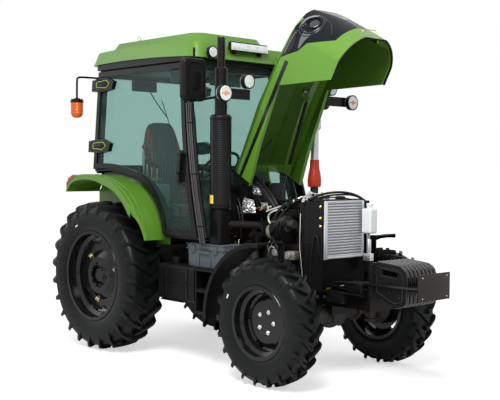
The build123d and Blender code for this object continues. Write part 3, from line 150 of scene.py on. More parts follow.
def skin(*stacks):
    """One mesh of closed forms, each skinned over rings of equal length."""
    bm = bmesh.new()
    for rings in stacks:
        rows = [[bm.verts.new(p) for p in ring] for ring in rings]
        count = len(rows[0])
        for low, high in zip(rows, rows[1:]):
            for i in range(count):
                j = (i + 1) % count
                bm.faces.new((low[i], low[j], high[j], high[i]))
        bm.faces.new(rows[0][::-1])
        bm.faces.new(rows[-1])
    return mesh_of(bm)


def turned(profile, centre, axis="Y", steps=64):
    """Turn a profile of (radius, distance along the axis) round an axle, in metres."""
    place = {"X": lambda r, d, c, s: (d, r * c, r * s), "Y": lambda r, d, c, s: (r * s, d, r * c),
             "Z": lambda r, d, c, s: (r * c, r * s, d)}[axis]
    bm = bmesh.new()
    rows = [[bm.verts.new(centre + Vector(place(r, d, c, s))) for r, d in profile] for c, s in turns(steps)]
    for here, there in zip(rows, rows[1:] + rows[:1]):
        for i in range(len(profile) - 1):
            bm.faces.new((here[i], here[i + 1], there[i + 1], there[i]))
    return mesh_of(bm)


def slab(bm, low, high, turn=None):
    """A box between two corners, turned by a matrix if one is given."""
    corners = [Vector((x, y, z)) for x in (low[0], high[0]) for y in (low[1], high[1])
               for z in (low[2], high[2])]
    v = [bm.verts.new(turn @ c if turn else c) for c in corners]
    for a, b, c, d in ((0, 1, 3, 2), (4, 6, 7, 5), (0, 4, 5, 1), (2, 3, 7, 6), (0, 2, 6, 4), (1, 5, 7, 3)):
        bm.faces.new((v[a], v[b], v[c], v[d]))


def flat_mesh(obj):
    """The mesh that an object shows once its modifiers are worked out; the object is removed."""
    bpy.context.view_layer.update()
    graph = bpy.context.evaluated_depsgraph_get()
    mesh = bpy.data.meshes.new_from_object(obj.evaluated_get(graph))
    bpy.data.objects.remove(obj)
    return mesh


def tube_mesh(points, radius, order=3, resolution=6, sides=6):
    """A closed round tube along one smooth curve through control points."""
    data = bpy.data.curves.new("run", "CURVE")
    data.dimensions = "3D"
    data.bevel_depth = radius
    data.bevel_resolution = sides
    data.use_fill_caps = True
    spline = data.splines.new("NURBS")
    spline.points.add(len(points) - 1)
    for point, place in zip(spline.points, points):
        point.co = (*place, 1)
    spline.order_u = min(order, len(points))
    spline.use_endpoint_u = True
    spline.resolution_u = resolution
    mesh = flat_mesh(linked("run", data))
    bpy.data.curves.remove(data)
    return mesh


def opened(mesh):
    """Swing a mesh drawn on the closed hood up to where the hood stands."""
    hinge = Matrix.Translation(HOOD_HINGE)
    mesh.transform(hinge @ Matrix.Rotation(-HOOD_TURN, 4, "Y") @ hinge.inverted())
    return mesh


# %% [markdown]
# Most fittings are boxes with broken edges, turned parts, bars and hoses. They are typed in
# drawn millimetres, so the next helpers take rows of numbers straight from the drawing.

# %% Boxes, turned parts, hoses and loops in drawn millimetres
def soft_box(low, high, width=0.004):
    """A drawn box with its edges rounded."""
    bm = bmesh.new()
    slab(bm, drawn(*low), drawn(*high))
    bmesh.ops.recalc_face_normals(bm, faces=bm.faces)
    bmesh.ops.bevel(bm, geom=bm.edges[:], offset=width, segments=2, affect="EDGES", profile=0.5)
    return mesh_of(bm)


def boxes(width, *rows):
    """Soft boxes from rows of x, y and z at the low corner and then at the high one."""
    return [soft_box(row[:3], row[3:], width) for row in rows]


def box_mesh(low, high):
    """A drawn box with plain edges."""
    bm = bmesh.new()
    slab(bm, drawn(*low), drawn(*high))
    return mesh_of(bm)


def round_part(profile, centre, axis, steps=40):
    """A turned part from (radius, distance) in millimetres about a drawn centre."""
    return turned([(r / 1000, d / 1000) for r, d in profile], drawn(*centre), axis, steps)


def disc(radius, half, centre, axis="Y", steps=6):
    """A plain disc, or a nut when it has six sides."""
    return round_part([(0, -half), (radius, -half), (radius, half), (0, half)], centre, axis, steps)


def band(inner, outer, half, centre, axis, steps=40):
    """A flat ring."""
    return round_part([(inner, -half), (outer, -half), (outer, half), (inner, half), (inner, -half)],
                      centre, axis, steps)


def run(points, radius, order=3, resolution=5):
    """A bar or pipe through drawn points, with its radius in millimetres."""
    return tube_mesh([drawn(*p) for p in points], radius / 1000, order, resolution, sides=3)


def hose(points, radius):
    """A hose: a run that bends more gently."""
    return run(points, radius, 4, 6)


WIRE_SIDES = 8


def wire_loop(points, radius):
    """A closed loop of round wire through points."""
    bm = bmesh.new()
    middle = sum(points, Vector()) / len(points)
    rings = []
    for before, point, after in zip(points[-1:] + points, points, points[1:] + points[:1]):
        along = (after - before).normalized()
        out = (point - middle) - along * (point - middle).dot(along)
        out.normalize()
        across = along.cross(out)
        rings.append([bm.verts.new(point + (out * c + across * s) * radius) for c, s in turns(WIRE_SIDES)])
    for here, there in zip(rings, rings[1:] + rings[:1]):
        for k in range(WIRE_SIDES):
            j = (k + 1) % WIRE_SIDES
            bm.faces.new((here[k], here[j], there[j], there[k]))
    return mesh_of(bm)


# %% [markdown]
# Bars, bolts, fins and ribs repeat, round an axle or in a straight row. Two trees of
# Geometry Nodes make the copies, because a repeated shape is easier to change when it is
# made once.

# %% Node trees that copy a shape
def wire(tree, made, inputs):
    """Set a node's inputs: a socket is linked, and anything else is a value."""
    for key, value in inputs.items():
        if isinstance(value, bpy.types.NodeSocket):
            tree.links.new(value, made.inputs[key])
        else:
            made.inputs[key].default_value = value


def add_node(tree, kind, inputs=None, **settings):
    """A new node with its settings and inputs."""
    made = tree.nodes.new(kind)
    for name, value in settings.items():
        setattr(made, name, value)
    wire(tree, made, inputs or {})
    return made


def round_points(tree, asked):
    """Points that all stand on the axle, each turned a step further about Y."""
    points = add_node(tree, "GeometryNodePoints", {"Count": asked["Count"], "Position": asked["Axle"]})
    index = add_node(tree, "GeometryNodeInputIndex")
    step = add_node(tree, "ShaderNodeMath", {0: 2 * math.pi, 1: asked["Count"]}, operation="DIVIDE")
    turn = add_node(tree, "ShaderNodeMath", {0: index.outputs[0], 1: step.outputs[0], 2: asked["Start turn"]},
                    operation="MULTIPLY_ADD")
    angles = add_node(tree, "ShaderNodeCombineXYZ", {"Y": turn.outputs[0]})
    return {"Points": points.outputs[0], "Rotation": angles.outputs[0]}


def row_points(tree, asked):
    """Points in a straight row, a step apart."""
    line = add_node(tree, "GeometryNodeMeshLine", {"Count": asked["Count"], "Offset": asked["Step"]})
    return {"Points": line.outputs[0]}


def copying_tree(name, places, asks):
    """A tree that copies the incoming shape to points and gives it a finish, and its input keys."""
    tree = bpy.data.node_groups.new(name, "GeometryNodeTree")
    face = tree.interface
    keys = {}
    for label, kind in {"Geometry": "Geometry", "Count": "Int", **asks, "Finish": "Material"}.items():
        keys[label] = face.new_socket(label, in_out="INPUT", socket_type="NodeSocket" + kind).identifier
    face.new_socket("Geometry", in_out="OUTPUT", socket_type="NodeSocketGeometry")
    asked = add_node(tree, "NodeGroupInput").outputs
    copies = add_node(tree, "GeometryNodeInstanceOnPoints", {"Instance": asked["Geometry"], **places(tree, asked)})
    real = add_node(tree, "GeometryNodeRealizeInstances", {0: copies.outputs[0]})
    dressed = add_node(tree, "GeometryNodeSetMaterial", {0: real.outputs[0], "Material": asked["Finish"]})
    add_node(tree, "NodeGroupOutput", {0: dressed.outputs[0]})
    return tree, keys


RING = copying_tree("copies_round_axle", round_points, {"Start turn": "Float", "Axle": "Vector"})
ROW = copying_tree("copies_in_a_row", row_points, {"Step": "Vector"})


def copied(mesh, maker, **values):
    """The mesh with its copies, made by one of the trees."""
    tree, keys = maker
    holder = linked("copies", mesh)
    copies = holder.modifiers.new("copies", "NODES")
    copies.node_group = tree
    for label, value in values.items():
        copies[keys[label.replace("_", " ")]] = value
    return flat_mesh(holder)


def copied_round(mesh, count, axle, material, start=0.0):
    """The mesh, made about the origin, copied count times round an axle along Y."""
    return copied(mesh, RING, Count=count, Start_turn=float(start), Axle=tuple(axle), Finish=material)


def in_row(mesh, count, step, material):
    """The mesh copied count times, each a step (in metres) from the last."""
    return copied(mesh, ROW, Count=count, Step=step, Finish=material)


print("copying trees with", len(RING[0].nodes), "and", len(ROW[0].nodes), "nodes")

# %% [markdown]
# ## Finishes
# A finish is a small network of nodes. Noise in object coordinates varies the colour and
# the roughness, a finer noise lifts the surface a little, and dust gathers on faces that
# look up. One function builds the network, so each real finish is one short call, and
# the settings that are the same all over a surface stay on the shader itself.

# %% The function behind every finish
DUST_TAN = (0.30, 0.26, 0.20)


def new_material(name, **sockets):
    """A material with these values on its shader, its tree and the shader."""
    material = bpy.data.materials.new(name)
    material.use_nodes = True
    shader = material.node_tree.nodes["Principled BSDF"]
    wire(material.node_tree, shader, {label.replace("_", " "): value for label, value in sockets.items()})
    return material, material.node_tree, shader


def finish(name, colour, rough, metal=0.0, speck=60, vary=0.12, grain=0.0, grain_size=400,
           dust=0.0, dust_colour=DUST_TAN, coat=0.0, sheen=0.0, specular=0.28):
    """A procedural finish: colour that varies, grain in the surface, and dust on top."""
    material, tree, shader = new_material(name, Metallic=metal, Specular_IOR_Level=specular, Coat_Weight=coat,
                                          Coat_Roughness=0.16, Sheen_Weight=sheen)
    place = add_node(tree, "ShaderNodeTexCoord").outputs["Object"]

    def noise(scale, detail):
        """The value of a noise in object coordinates."""
        return add_node(tree, "ShaderNodeTexNoise", {"Vector": place, "Scale": scale,
                                                     "Detail": detail}).outputs["Fac"]

    broad = noise(speck / 12, 6)
    darker, lighter = ([min(1, c * share) for c in colour] + [1] for share in (1 - vary, 1 + vary))
    tone = add_node(tree, "ShaderNodeMix", {"Factor": broad, "A": darker, "B": lighter}, data_type="RGBA")
    shade = tone.outputs["Result"]
    gloss = add_node(tree, "ShaderNodeMapRange", {"Value": noise(speck, 4), "To Min": max(0.02, rough * 0.8),
                                                  "To Max": min(1, rough * 1.25)})
    roughness = gloss.outputs["Result"]
    if dust:
        facing = add_node(tree, "ShaderNodeNewGeometry").outputs["Normal"]
        up = add_node(tree, "ShaderNodeSeparateXYZ", {"Vector": facing}).outputs["Z"]
        upward = add_node(tree, "ShaderNodeMapRange", {"Value": up, "From Min": 0.1, "To Min": dust * 0.25,
                                                       "To Max": dust})
        patch = add_node(tree, "ShaderNodeMath", {0: upward.outputs[0], 1: broad}, operation="MULTIPLY").outputs[0]
        dusty = add_node(tree, "ShaderNodeMix", {"Factor": patch, "A": shade, "B": (*dust_colour, 1)},
                         data_type="RGBA")
        rougher = add_node(tree, "ShaderNodeMix", {"Factor": patch, "A": roughness, "B": 0.9})
        shade, roughness = dusty.outputs["Result"], rougher.outputs["Result"]
    wire(tree, shader, {"Base Color": shade, "Roughness": roughness})
    if grain:
        bump = add_node(tree, "ShaderNodeBump", {"Strength": grain, "Distance": 0.001,
                                                 "Height": noise(grain_size, 3)})
        wire(tree, shader, {"Normal": bump.outputs["Normal"]})
    return material


def glass(name, colour, clear, through=None):
    """Thin glass that reflects more at a low angle, with a colour for what is behind it."""
    material, tree, shader = new_material(name, Base_Color=(*colour, 1), Roughness=0.03, IOR=1.45)
    rim = add_node(tree, "ShaderNodeLayerWeight", {"Blend": 0.22}).outputs["Facing"]
    cover = add_node(tree, "ShaderNodeMapRange", {"Value": rim, "To Min": 1 - clear,
                                                  "To Max": min(1.0, 1.22 - clear)})
    wire(tree, shader, {"Alpha": cover.outputs["Result"]})
    if through:
        stain = add_node(tree, "ShaderNodeBsdfTransparent", {"Color": (*through, 1)})
        blend = add_node(tree, "ShaderNodeMixShader", {1: shader.outputs["BSDF"], 2: stain.outputs["BSDF"]})
        wire(tree, tree.nodes["Material Output"], {"Surface": blend.outputs["Shader"]})
    return material


# %% [markdown]
# The bodywork is a bright yellow-green paint under a clear coat. The chassis is gloss
# black, the castings are duller, and plastic and rubber have a fine grain and no coat.

# %% Finishes by the record's slot
FINISHES = {
    "green_paint": finish("leaf_green_paint", (0.090, 0.222, 0.019), 0.34, vary=0.05, coat=0.35,
                          specular=0.25, speck=30, grain=0.03, grain_size=900, dust=0.03),
    "black_paint": finish("gloss_black_paint", (0.0045, 0.0045, 0.0048), 0.30, vary=0.2, coat=0.08,
                          grain=0.05, dust=0.035, specular=0.12),
    "cab_black": finish("cab_black_paint", (0.0048, 0.0051, 0.0054), 0.28, vary=0.15, coat=0.08,
                        grain=0.04, dust=0.03, specular=0.12),
    "rim_black": finish("rim_black_paint", (0.0038, 0.0044, 0.0044), 0.15, vary=0.2, coat=0.2,
                        grain=0.04, dust=0.02, specular=0.25),
    "weight_black": finish("weight_paint", (0.0060, 0.0060, 0.0063), 0.42, vary=0.3, grain=0.45,
                           grain_size=260, dust=0.05, specular=0.12),
    "cast_grey": finish("painted_casting", (0.022, 0.023, 0.024), 0.5, vary=0.3, grain=0.45,
                        grain_size=220, dust=0.2),
    "engine_grey": finish("engine_casting", (0.016, 0.016, 0.015), 0.5, vary=0.45, grain=0.5,
                          grain_size=200, dust=0.12),
    "pump_casting": finish("raw_aluminium_casting", (0.42, 0.40, 0.35), 0.45, metal=0.8, vary=0.25,
                           grain=0.4, grain_size=240, dust=0.1),
    "red_silicone": finish("red_silicone_hose", (0.50, 0.045, 0.022), 0.38, vary=0.1, grain=0.12,
                           grain_size=300),
    "galvanised": finish("galvanised_tube", (0.55, 0.56, 0.57), 0.38, metal=0.9, vary=0.15, speck=90),
    "seal_rubber": finish("seal_rubber", (0.0042, 0.0042, 0.0042), 0.5, vary=0.2, grain=0.2, dust=0.05,
                          specular=0.12),
    "rusty_iron": finish("heat_stained_iron", (0.014, 0.010, 0.008), 0.7, metal=0.1, vary=0.6, speck=120,
                         grain=0.7, specular=0.15, grain_size=260),
    "radiator_black": finish("radiator_black", (0.0060, 0.0060, 0.0066), 0.36, vary=0.25, grain=0.12,
                             dust=0.05, specular=0.12),
    "bare_aluminium": finish("bare_aluminium", (0.62, 0.64, 0.66), 0.34, metal=0.85, vary=0.1, speck=160,
                             grain=0.1),
    "white_plastic": finish("milky_plastic", (0.74, 0.76, 0.76), 0.35, vary=0.05, grain=0.05),
    "black_plastic": finish("black_plastic", (0.0054, 0.0054, 0.0060), 0.36, vary=0.2, grain=0.2,
                            grain_size=700, dust=0.04, specular=0.12),
    "grey_plastic": finish("grey_plastic", (0.085, 0.100, 0.118), 0.5, vary=0.15, grain=0.25,
                           grain_size=600, dust=0.1),
    "orange_plastic": finish("orange_lens", (0.62, 0.11, 0.006), 0.18, vary=0.08, coat=0.25),
    "red_plastic": finish("red_lens", (0.36, 0.010, 0.008), 0.18, vary=0.08, coat=0.5),
    "chrome_rod": finish("polished_rod", (0.22, 0.22, 0.23), 0.12, metal=1.0, vary=0.04),
    "bare_steel": finish("machined_steel", (0.45, 0.45, 0.46), 0.35, metal=0.95, vary=0.2, speck=150,
                         grain=0.1),
    "tyre_rubber": finish("tyre_rubber", (0.0036, 0.0042, 0.0046), 0.36, vary=0.35, grain=0.35,
                          grain_size=320, dust=0.06, dust_colour=(0.05, 0.05, 0.05), specular=0.17),
    "tinted_glass": glass("tinted_cab_glass", (0.12, 0.18, 0.165), 0.82, through=(0.57, 0.77, 0.73)),
    "lamp_lens": finish("lamp_reflector", (0.72, 0.74, 0.76), 0.16, metal=0.6, vary=0.1, coat=0.6),
}

# %% [markdown]
# The seat's cloth has fine upright stripes and a red band down each side. They come from
# the distance to the seat's middle, so the stripes run straight up both cushions.

# %% Seat cloth with stripes
def striped_cloth():
    """Dark woven cloth with fine upright stripes and a red band down each side."""
    material = finish("striped_seat_cloth", (0.035, 0.037, 0.040), 0.9, vary=0.25, grain=0.7, grain_size=900,
                      sheen=0.25)
    tree = material.node_tree
    shader = tree.nodes["Principled BSDF"]
    cloth = shader.inputs["Base Color"].links[0].from_socket
    place = add_node(tree, "ShaderNodeTexCoord").outputs["Object"]
    side = add_node(tree, "ShaderNodeSeparateXYZ", {"Vector": place}).outputs["Y"]

    def sums(operation, *values):
        """The result of one step of arithmetic."""
        return add_node(tree, "ShaderNodeMath", dict(enumerate(values)), operation=operation).outputs["Value"]

    def painted(below, where, colour):
        """A colour laid over another where a mask is one."""
        mix = add_node(tree, "ShaderNodeMix", {"Factor": where, "A": below, "B": colour}, data_type="RGBA")
        return mix.outputs["Result"]

    across = sums("ABSOLUTE", side)
    stripes = sums("LESS_THAN", sums("PINGPONG", across, 0.016), 0.004)
    striped = painted(cloth, stripes, (0.10, 0.10, 0.11, 1))
    banded = painted(striped, sums("COMPARE", across, 0.168, 0.016), (0.30, 0.035, 0.030, 1))
    wire(tree, shader, {"Base Color": banded})
    return material


FINISHES["seat_cloth"] = striped_cloth()
slots = {row["node"]: row["material_slot"] for row in frame["record"]["subparts"]}
for node_name, obj in nodes.items():
    dress(obj, FINISHES[slots[node_name]])
SPECIAL = {
    finish("blue_black_mask", (0.0040, 0.0055, 0.0085), 0.22, vary=0.2, specular=0.16): ("hood_mask",),
    finish("head_lamp_glass", (0.085, 0.090, 0.100), 0.10, metal=0.85, vary=0.3, speck=120): ("head_lamps",),
    finish("dull_casting", (0.055, 0.052, 0.046), 0.5, metal=0.4, vary=0.4, grain=0.4,
           grain_size=240): ("engine_accessories",),
}
for material, names in SPECIAL.items():
    for name in names:
        dress(nodes[name], material)
print(len(FINISHES), "finishes")

# %% [markdown]
# ## Tyres
# A drive tyre is a smooth bulged carcass under two rows of slanted bars. The carcass is a
# profile turned round the axle. One bar is modelled along its bent path over the shoulder
# and copied round, each row half a step from the other. A bar's top is a little narrower
# than its root, it bends back as it nears the shoulder, and it runs a short way down the
# sidewall, which is what shows it to be an agricultural tyre from the side.

# %% Carcass and bars
TYRES = {
    # name: tread radius, width, rim radius, bars in a row, bar height, bar width
    "rear": (0.688, 0.384, 0.408, 23, 0.038, 0.034),
    "front": (0.502, 0.252, 0.284, 21, 0.032, 0.027),
}
BEAD_DEPTH = 0.0135


def carcass_profile(radius, width, rim, bar):
    """(radius, distance from the wheel's middle plane), outside first and back through the bore."""
    half = width / 2
    base = radius - bar
    wall = base - rim
    side = [(rim - BEAD_DEPTH, 0.80), (rim + 0.004, 0.825), (rim + 0.010, 0.865)]
    side += [(rim + wall * up, out) for up, out in
             ((0.10, 0.915), (0.25, 0.962), (0.42, 0.985), (0.58, 0.985), (0.72, 0.965), (0.77, 0.958),
              (0.80, 0.925), (0.89, 0.865))]
    side += [(base - 0.008, 0.76), (base - 0.003, 0.66), (base, 0.45), (base + 0.001, 0.2), (base + 0.001, 0)]
    outer = [(r, -half * share) for r, share in side]
    inner = [(r, half * share) for r, share in side[:-1]][::-1]
    return outer + inner + [(rim - BEAD_DEPTH, half * 0.80), (rim - 0.0138, 0), (rim - BEAD_DEPTH, -half * 0.80)]


def bar_mesh(radius, width, rim, count, height, thick, side):
    """One tread bar about the origin, with its nose at the top, on one side of the middle."""
    half = width / 2
    lead = 0.30 * 2 * math.pi / count
    base = radius - height
    wall = base - rim
    path = [
        # share across, share of the sweep, root radius, top radius, half thickness
        (-0.05, 0.00, base - 0.006, radius, 0.62), (0.02, -0.02, base - 0.006, radius, 0.60),
        (0.20, -0.16, base - 0.006, radius, 0.48), (0.40, -0.38, base - 0.008, radius, 0.46),
        (0.58, -0.62, base - 0.010, radius, 0.47), (0.74, -0.86, base - 0.014, radius, 0.50),
        (0.86, -1.04, base - 0.028, radius, 0.54), (0.925, -1.14, base - 0.045, radius - 0.006, 0.56),
        (0.965, -1.20, base - wall * 0.20, base + height * 0.10, 0.60),
        (0.99, -1.25, base - wall * 0.30, base - wall * 0.12, 0.62),
        (0.982, -1.28, base - wall * 0.42, base - wall * 0.34, 0.58),
    ]
    rings = []
    for across, sweep, low, high, spread in path:
        middle = lead + sweep * lead * 1.85
        top = high - 0.020 * abs(across) ** 2.2
        flank = [(low, 1.45), (low + (top - low) * 0.5, 1.16), (top - 0.004, 0.96), (top, 0.84)]
        ring = []
        for r, wide in flank + [(r, -wide) for r, wide in flank[::-1]]:
            angle = middle + wide * spread * thick / radius
            ring.append((r * math.sin(angle), side * across * half, r * math.cos(angle)))
        rings.append(ring)
    return skin(rings)


RUBBER = FINISHES["tyre_rubber"]
for kind, (radius, width, rim, count, height, thick) in TYRES.items():
    hub = HUBS[kind]
    parts = [turned(carcass_profile(radius, width, rim, height), hub, steps=count * 8)]
    for side, stagger in ((-1, 0.0), (1, math.pi / count)):
        bar = bar_mesh(radius, width, rim, count, height, thick, side)
        parts.append(copied_round(bar, count, hub, RUBBER, stagger))
    tyre = joined(parts)
    for made, side in zip(pair(f"tyre_{kind}", tyre, RUBBER, f"{kind}_wheel_*"), SIDES):
        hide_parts(f"{kind}_tyre_{side}")
    print(kind, "tyre", len(tyre.polygons), "faces")

# %% [markdown]
# ## Wheel bolts and pads
# The rear disc is held by gold-plated bolts in groups round the rim, and the front hub by
# five bright ones. One bolt is a washer, a hexagon with a chamfer and a short thread end.
# The rear disc also has raised pads, a rolled bead runs round each rim, and a tyre's wall
# carries one painted mark.

# %% Bolts, pads, beads, marks and valves on the wheels
GOLD_PLATE = finish("yellow_zinc", (0.80, 0.68, 0.46), 0.26, metal=1.0, vary=0.2, speck=200)
BRIGHT_ZINC = finish("bright_zinc", (0.80, 0.79, 0.74), 0.25, metal=1.0, vary=0.12, speck=200)
RIM_BLACK = FINISHES["rim_black"]


def bolt_mesh(radius, out_by, size):
    """A bolt about the origin that points towards -Y, at a distance from the axle."""
    seat = Vector((0, out_by, radius))
    stacks = []
    # radius at the root and at the top, height of the root and of the top, sides
    for r0, r1, y0, y1, sides in ((1.5, 1.45, 0, 0.28, 20), (1, 1, 0.28, 0.9, 6), (1, 0.82, 0.9, 1.05, 6),
                                  (0.55, 0.48, 1.0, 1.55, 12)):
        stacks.append([[seat + Vector((size * r * c, -size * y, size * r * s)) for c, s in turns(sides)]
                       for r, y in ((r0, y0), (r1, y1))])
    return skin(*stacks)


PAD_LOW, PAD_HIGH = 0.150, 0.214
PAD_SPREAD = math.radians(22)
PAD_FACE, PAD_STEP = -0.050, 0.009


def disc_pad():
    """A raised pad on the disc, between two radii, with stepped ends, about the origin."""
    rings = []
    front = PAD_FACE - PAD_STEP
    for k in range(9):
        a = PAD_SPREAD * (k / 8 * 2 - 1)
        top = PAD_HIGH - (0.022 if k in (0, 1, 7, 8) else 0)
        rings.append([Vector((r * math.sin(a), y, r * math.cos(a)))
                      for r, y in ((PAD_LOW, PAD_FACE), (PAD_LOW + 0.004, front), (top - 0.004, front),
                                   (top, PAD_FACE))])
    return skin(rings)


for name, mesh, count, wheel, material, start in (
        ("rear_disc_bolts", bolt_mesh(0.237, -0.054, 0.018), 3, "rear", GOLD_PLATE, math.radians(74)),
        ("rear_hub_bolts", bolt_mesh(0.097, -0.104, 0.010), 8, "rear", RIM_BLACK, 0.2),
        ("front_hub_bolts", bolt_mesh(0.084, -0.019, 0.012), 5, "front", BRIGHT_ZINC, math.radians(20))):
    pair(name, copied_round(mesh, count, HUBS[wheel], material, start), material, f"{wheel}_wheel_*")
pair("disc_pads", copied_round(disc_pad(), 6, HUBS["rear"], RIM_BLACK, 0.35), RIM_BLACK, "rear_wheel_*")

RIM_EDGE = finish("rim_edge", (0.010, 0.010, 0.011), 0.16, vary=0.1, coat=0.5, specular=0.5)
MARK = finish("white_mark", (0.70, 0.70, 0.68), 0.6, vary=0.05)
MARK_TURN = {"rear": -0.45, "front": -1.08}
BEAD = ((-0.016, 0.72), (0.004, 0.80), (0.009, 0.86), (0.005, 0.90), (-0.004, 0.88), (-0.012, 0.80),
        (-0.022, 0.72), (-0.016, 0.72))
VALVE = ((0.02, 0.30, -0.022), (0.025, 0.48, -0.05), (0.03, 0.62, -0.058))
for kind, (_, width, rim, *_) in TYRES.items():
    hub, out = HUBS[kind], -width / 2
    bm = bmesh.new()
    turn = Matrix.Translation(hub) @ Matrix.Rotation(MARK_TURN[kind], 4,
                                                     "Y") @ Matrix.Translation((0, 0, rim + 0.09))
    slab(bm, (-0.018, out * 1.012, -0.006), (0.018, out * 0.9, 0.006), turn)
    for name, mesh, coat in (
            ("rim_bead", turned([(rim + up, out * share) for up, share in BEAD], hub, "Y", 96), RIM_EDGE),
            ("wall_marks", mesh_of(bm), MARK),
            ("valve", tube_mesh([hub + Vector((x, out * share, rim + up)) for x, share, up in VALVE], 0.006),
             FINISHES["seal_rubber"])):
        pair(f"{kind}_{name}", mesh, coat, f"{kind}_wheel_*")
print("wheels done")

# %% [markdown]
# ## The hood's outside
# The hood is drawn closed, so what sits on it is drawn closed as well and swung up with it.
# A dark stripe runs along each side. The black mask holds the lamps in oval bezels, a
# bright fin behind each one, a row of small vent holes and a plain oval badge.

# %% Where the hood's skin is
# x, half width, height and half width of the crown's edge, ridge height
HOOD_ROWS = ((1380, 322, 1682, 246, 1724), (2066, 322, 1702, 240, 1740), (2457, 320, 1668, 234, 1700),
             (2709, 318, 1620, 224, 1648), (3000, 310, 1548, 200, 1575))
NOSE_CENTRE_X = 2640
NOSE_R = 331


def between(rows, x):
    """The numbers of a table's row at x, between the two rows beside it."""
    for low, high in zip(rows, rows[1:]):
        if x <= high[0]:
            break
    t = (x - low[0]) / (high[0] - low[0])
    return [a + (b - a) * t for a, b in zip(low[1:], high[1:])]


def hood_half(x):
    """Half width of the hood's upright sides at x, with the rounded nose."""
    half = between(HOOD_ROWS, x)[0]
    if x > NOSE_CENTRE_X:
        half = min(half, math.sqrt(max(0, NOSE_R ** 2 - (x - NOSE_CENTRE_X) ** 2)) - 1)
    return half


def hood_under(x, y):
    """Height of the underside of the hood's crown."""
    half, edge, edge_half, ridge = between(HOOD_ROWS, x)
    return ridge + (edge - ridge) * abs(y) / edge_half - 11


BAND_SINK = 1.0


def side_band(rows, thick=1.6):
    """A band on the hood's right side through (x, low z, high z) rows."""
    rings = []
    for x, low, high in rows:
        y = -hood_half(x)
        rings.append([drawn(x, y + BAND_SINK, low), drawn(x, y - thick, low), drawn(x, y - thick, high),
                      drawn(x, y + BAND_SINK, high)])
    return skin(rings)


def on_nose(along, z, proud=0.0):
    """A point on the rounded corner of the nose: along is the turn from the side, in degrees."""
    a = math.radians(along)
    r = NOSE_R + proud
    return drawn(NOSE_CENTRE_X + r * math.sin(a), 1 - r * math.cos(a), z)


def oval(turn, z, wide, high, proud):
    """A leaning oval round a lamp, on the nose's rounded corner."""
    return [on_nose(turn + wide * c, z + high * s - 8 * c, proud) for c, s in turns(40)]


# %% Stripes, bezels, fins and vents
STRIPE = finish("dark_stripe", (0.006, 0.007, 0.006), 0.3, vary=0.1, coat=0.4)
POLISHED = finish("polished_trim", (0.55, 0.56, 0.57), 0.18, metal=1.0, vary=0.1, speck=120)
MASK_BLADE = finish("mask_blade", (0.16, 0.17, 0.18), 0.2, metal=0.8, vary=0.15, coat=0.4)
MASK_TRIM = finish("mask_bezel", (0.010, 0.011, 0.013), 0.26, vary=0.15, coat=0.4)
VENT_WHITE = finish("vent_rim", (0.45, 0.46, 0.47), 0.35, metal=0.4, vary=0.1)
GOLD_WIRE = finish("yellow_plated_wire", (0.62, 0.50, 0.10), 0.3, metal=0.85, vary=0.2, speck=200)
VENTS = 17


def stripe_z(x):
    """Height of the stripe's middle line."""
    return 1529 - (x - 1447) * 0.0391


def vent(i):
    """One of the small round vents that curve down over the mask."""
    x = 2560 + 17 * i
    place = Matrix.Translation(drawn(x, -hood_half(x) - 0.5, 1545 - 2.2 * i - 0.10 * i * i))
    bm = bmesh.new()
    bmesh.ops.create_icosphere(bm, subdivisions=1, radius=0.0042, matrix=place)
    return mesh_of(bm)


stripe = side_band([(x, stripe_z(x) - w, stripe_z(x) + w)
                    for x, w in ((1426, 17), (1700, 18), (2066, 19), (2300, 20), (2508, 22))])
seal_band = side_band([(1401, 1399, 1680), (1424, 1402, 1681)], thick=2.2)
fin = side_band([(2648 + 18 * i, 1408 - 6.4 * i, 1420 + 3.0 * i) for i in range(9)], thick=5)
slots = [side_band([(x, 1492 - 6 * i, 1496 - 6 * i) for x in (2575 + 24 * i, 2700 + 8 * i)], thick=2.5)
         for i in range(3)]
bezel = [wire_loop(oval(41, 1424, 16.5, 84, 3), 0.009), wire_loop(oval(40, 1424, 20.5, 98, 1), 0.006)]
seam = tube_mesh([on_nose(t, z, 1.5) for t, z in ((50, 1500), (55, 1440), (58, 1370), (56, 1300), (49, 1240),
                                                  (40, 1190))], 0.005, sides=2)
for name, mesh, cover in (
        ("hood_stripe", stripe, STRIPE), ("mask_fin", fin, MASK_BLADE),
        ("hood_seal", seal_band, FINISHES["seal_rubber"]),
        ("lamp_bezel", joined(bezel), MASK_TRIM), ("mask_vents", joined([vent(i) for i in range(VENTS)]),
                                                   VENT_WHITE),
        ("mask_slots", joined(slots), MASK_TRIM), ("mask_seam", seam, MASK_TRIM)):
    pair(name, opened(mesh), cover, "hood")
print("mask: bezels, fins and", VENTS, "vents a side")

# %% [markdown]
# The badge is left plain: an oval dished plate in a bright rim. The handle is bent from
# yellow-plated wire, and a seam shows where the mask's centre piece laps over its cheeks.

# %% Badge and handle
badge = []
for share, out in ((1.0, -4), (1.0, 3), (0.9, 4), (0.84, 1), (0.4, 1.5)):
    rim = [(60 * share * c, 24 * share * s) for c, s in turns(36)]
    badge.append([drawn(2965 + out - y * y / 620, y, 1345 + z) for y, z in rim])
piece("hood_badge", opened(skin(badge)), POLISHED, "hood")
handle = run([(2912, -60, 1046), (2940, -60, 1050), (2968, -59, 1076), (2975, -56, 1080), (2983, 0, 1068),
              (2990, 55, 1052), (2986, 60, 1044), (2962, 62, 1004), (2905, 62, 990)], 3.4)
piece("hood_handle", opened(handle), GOLD_WIRE, "hood")
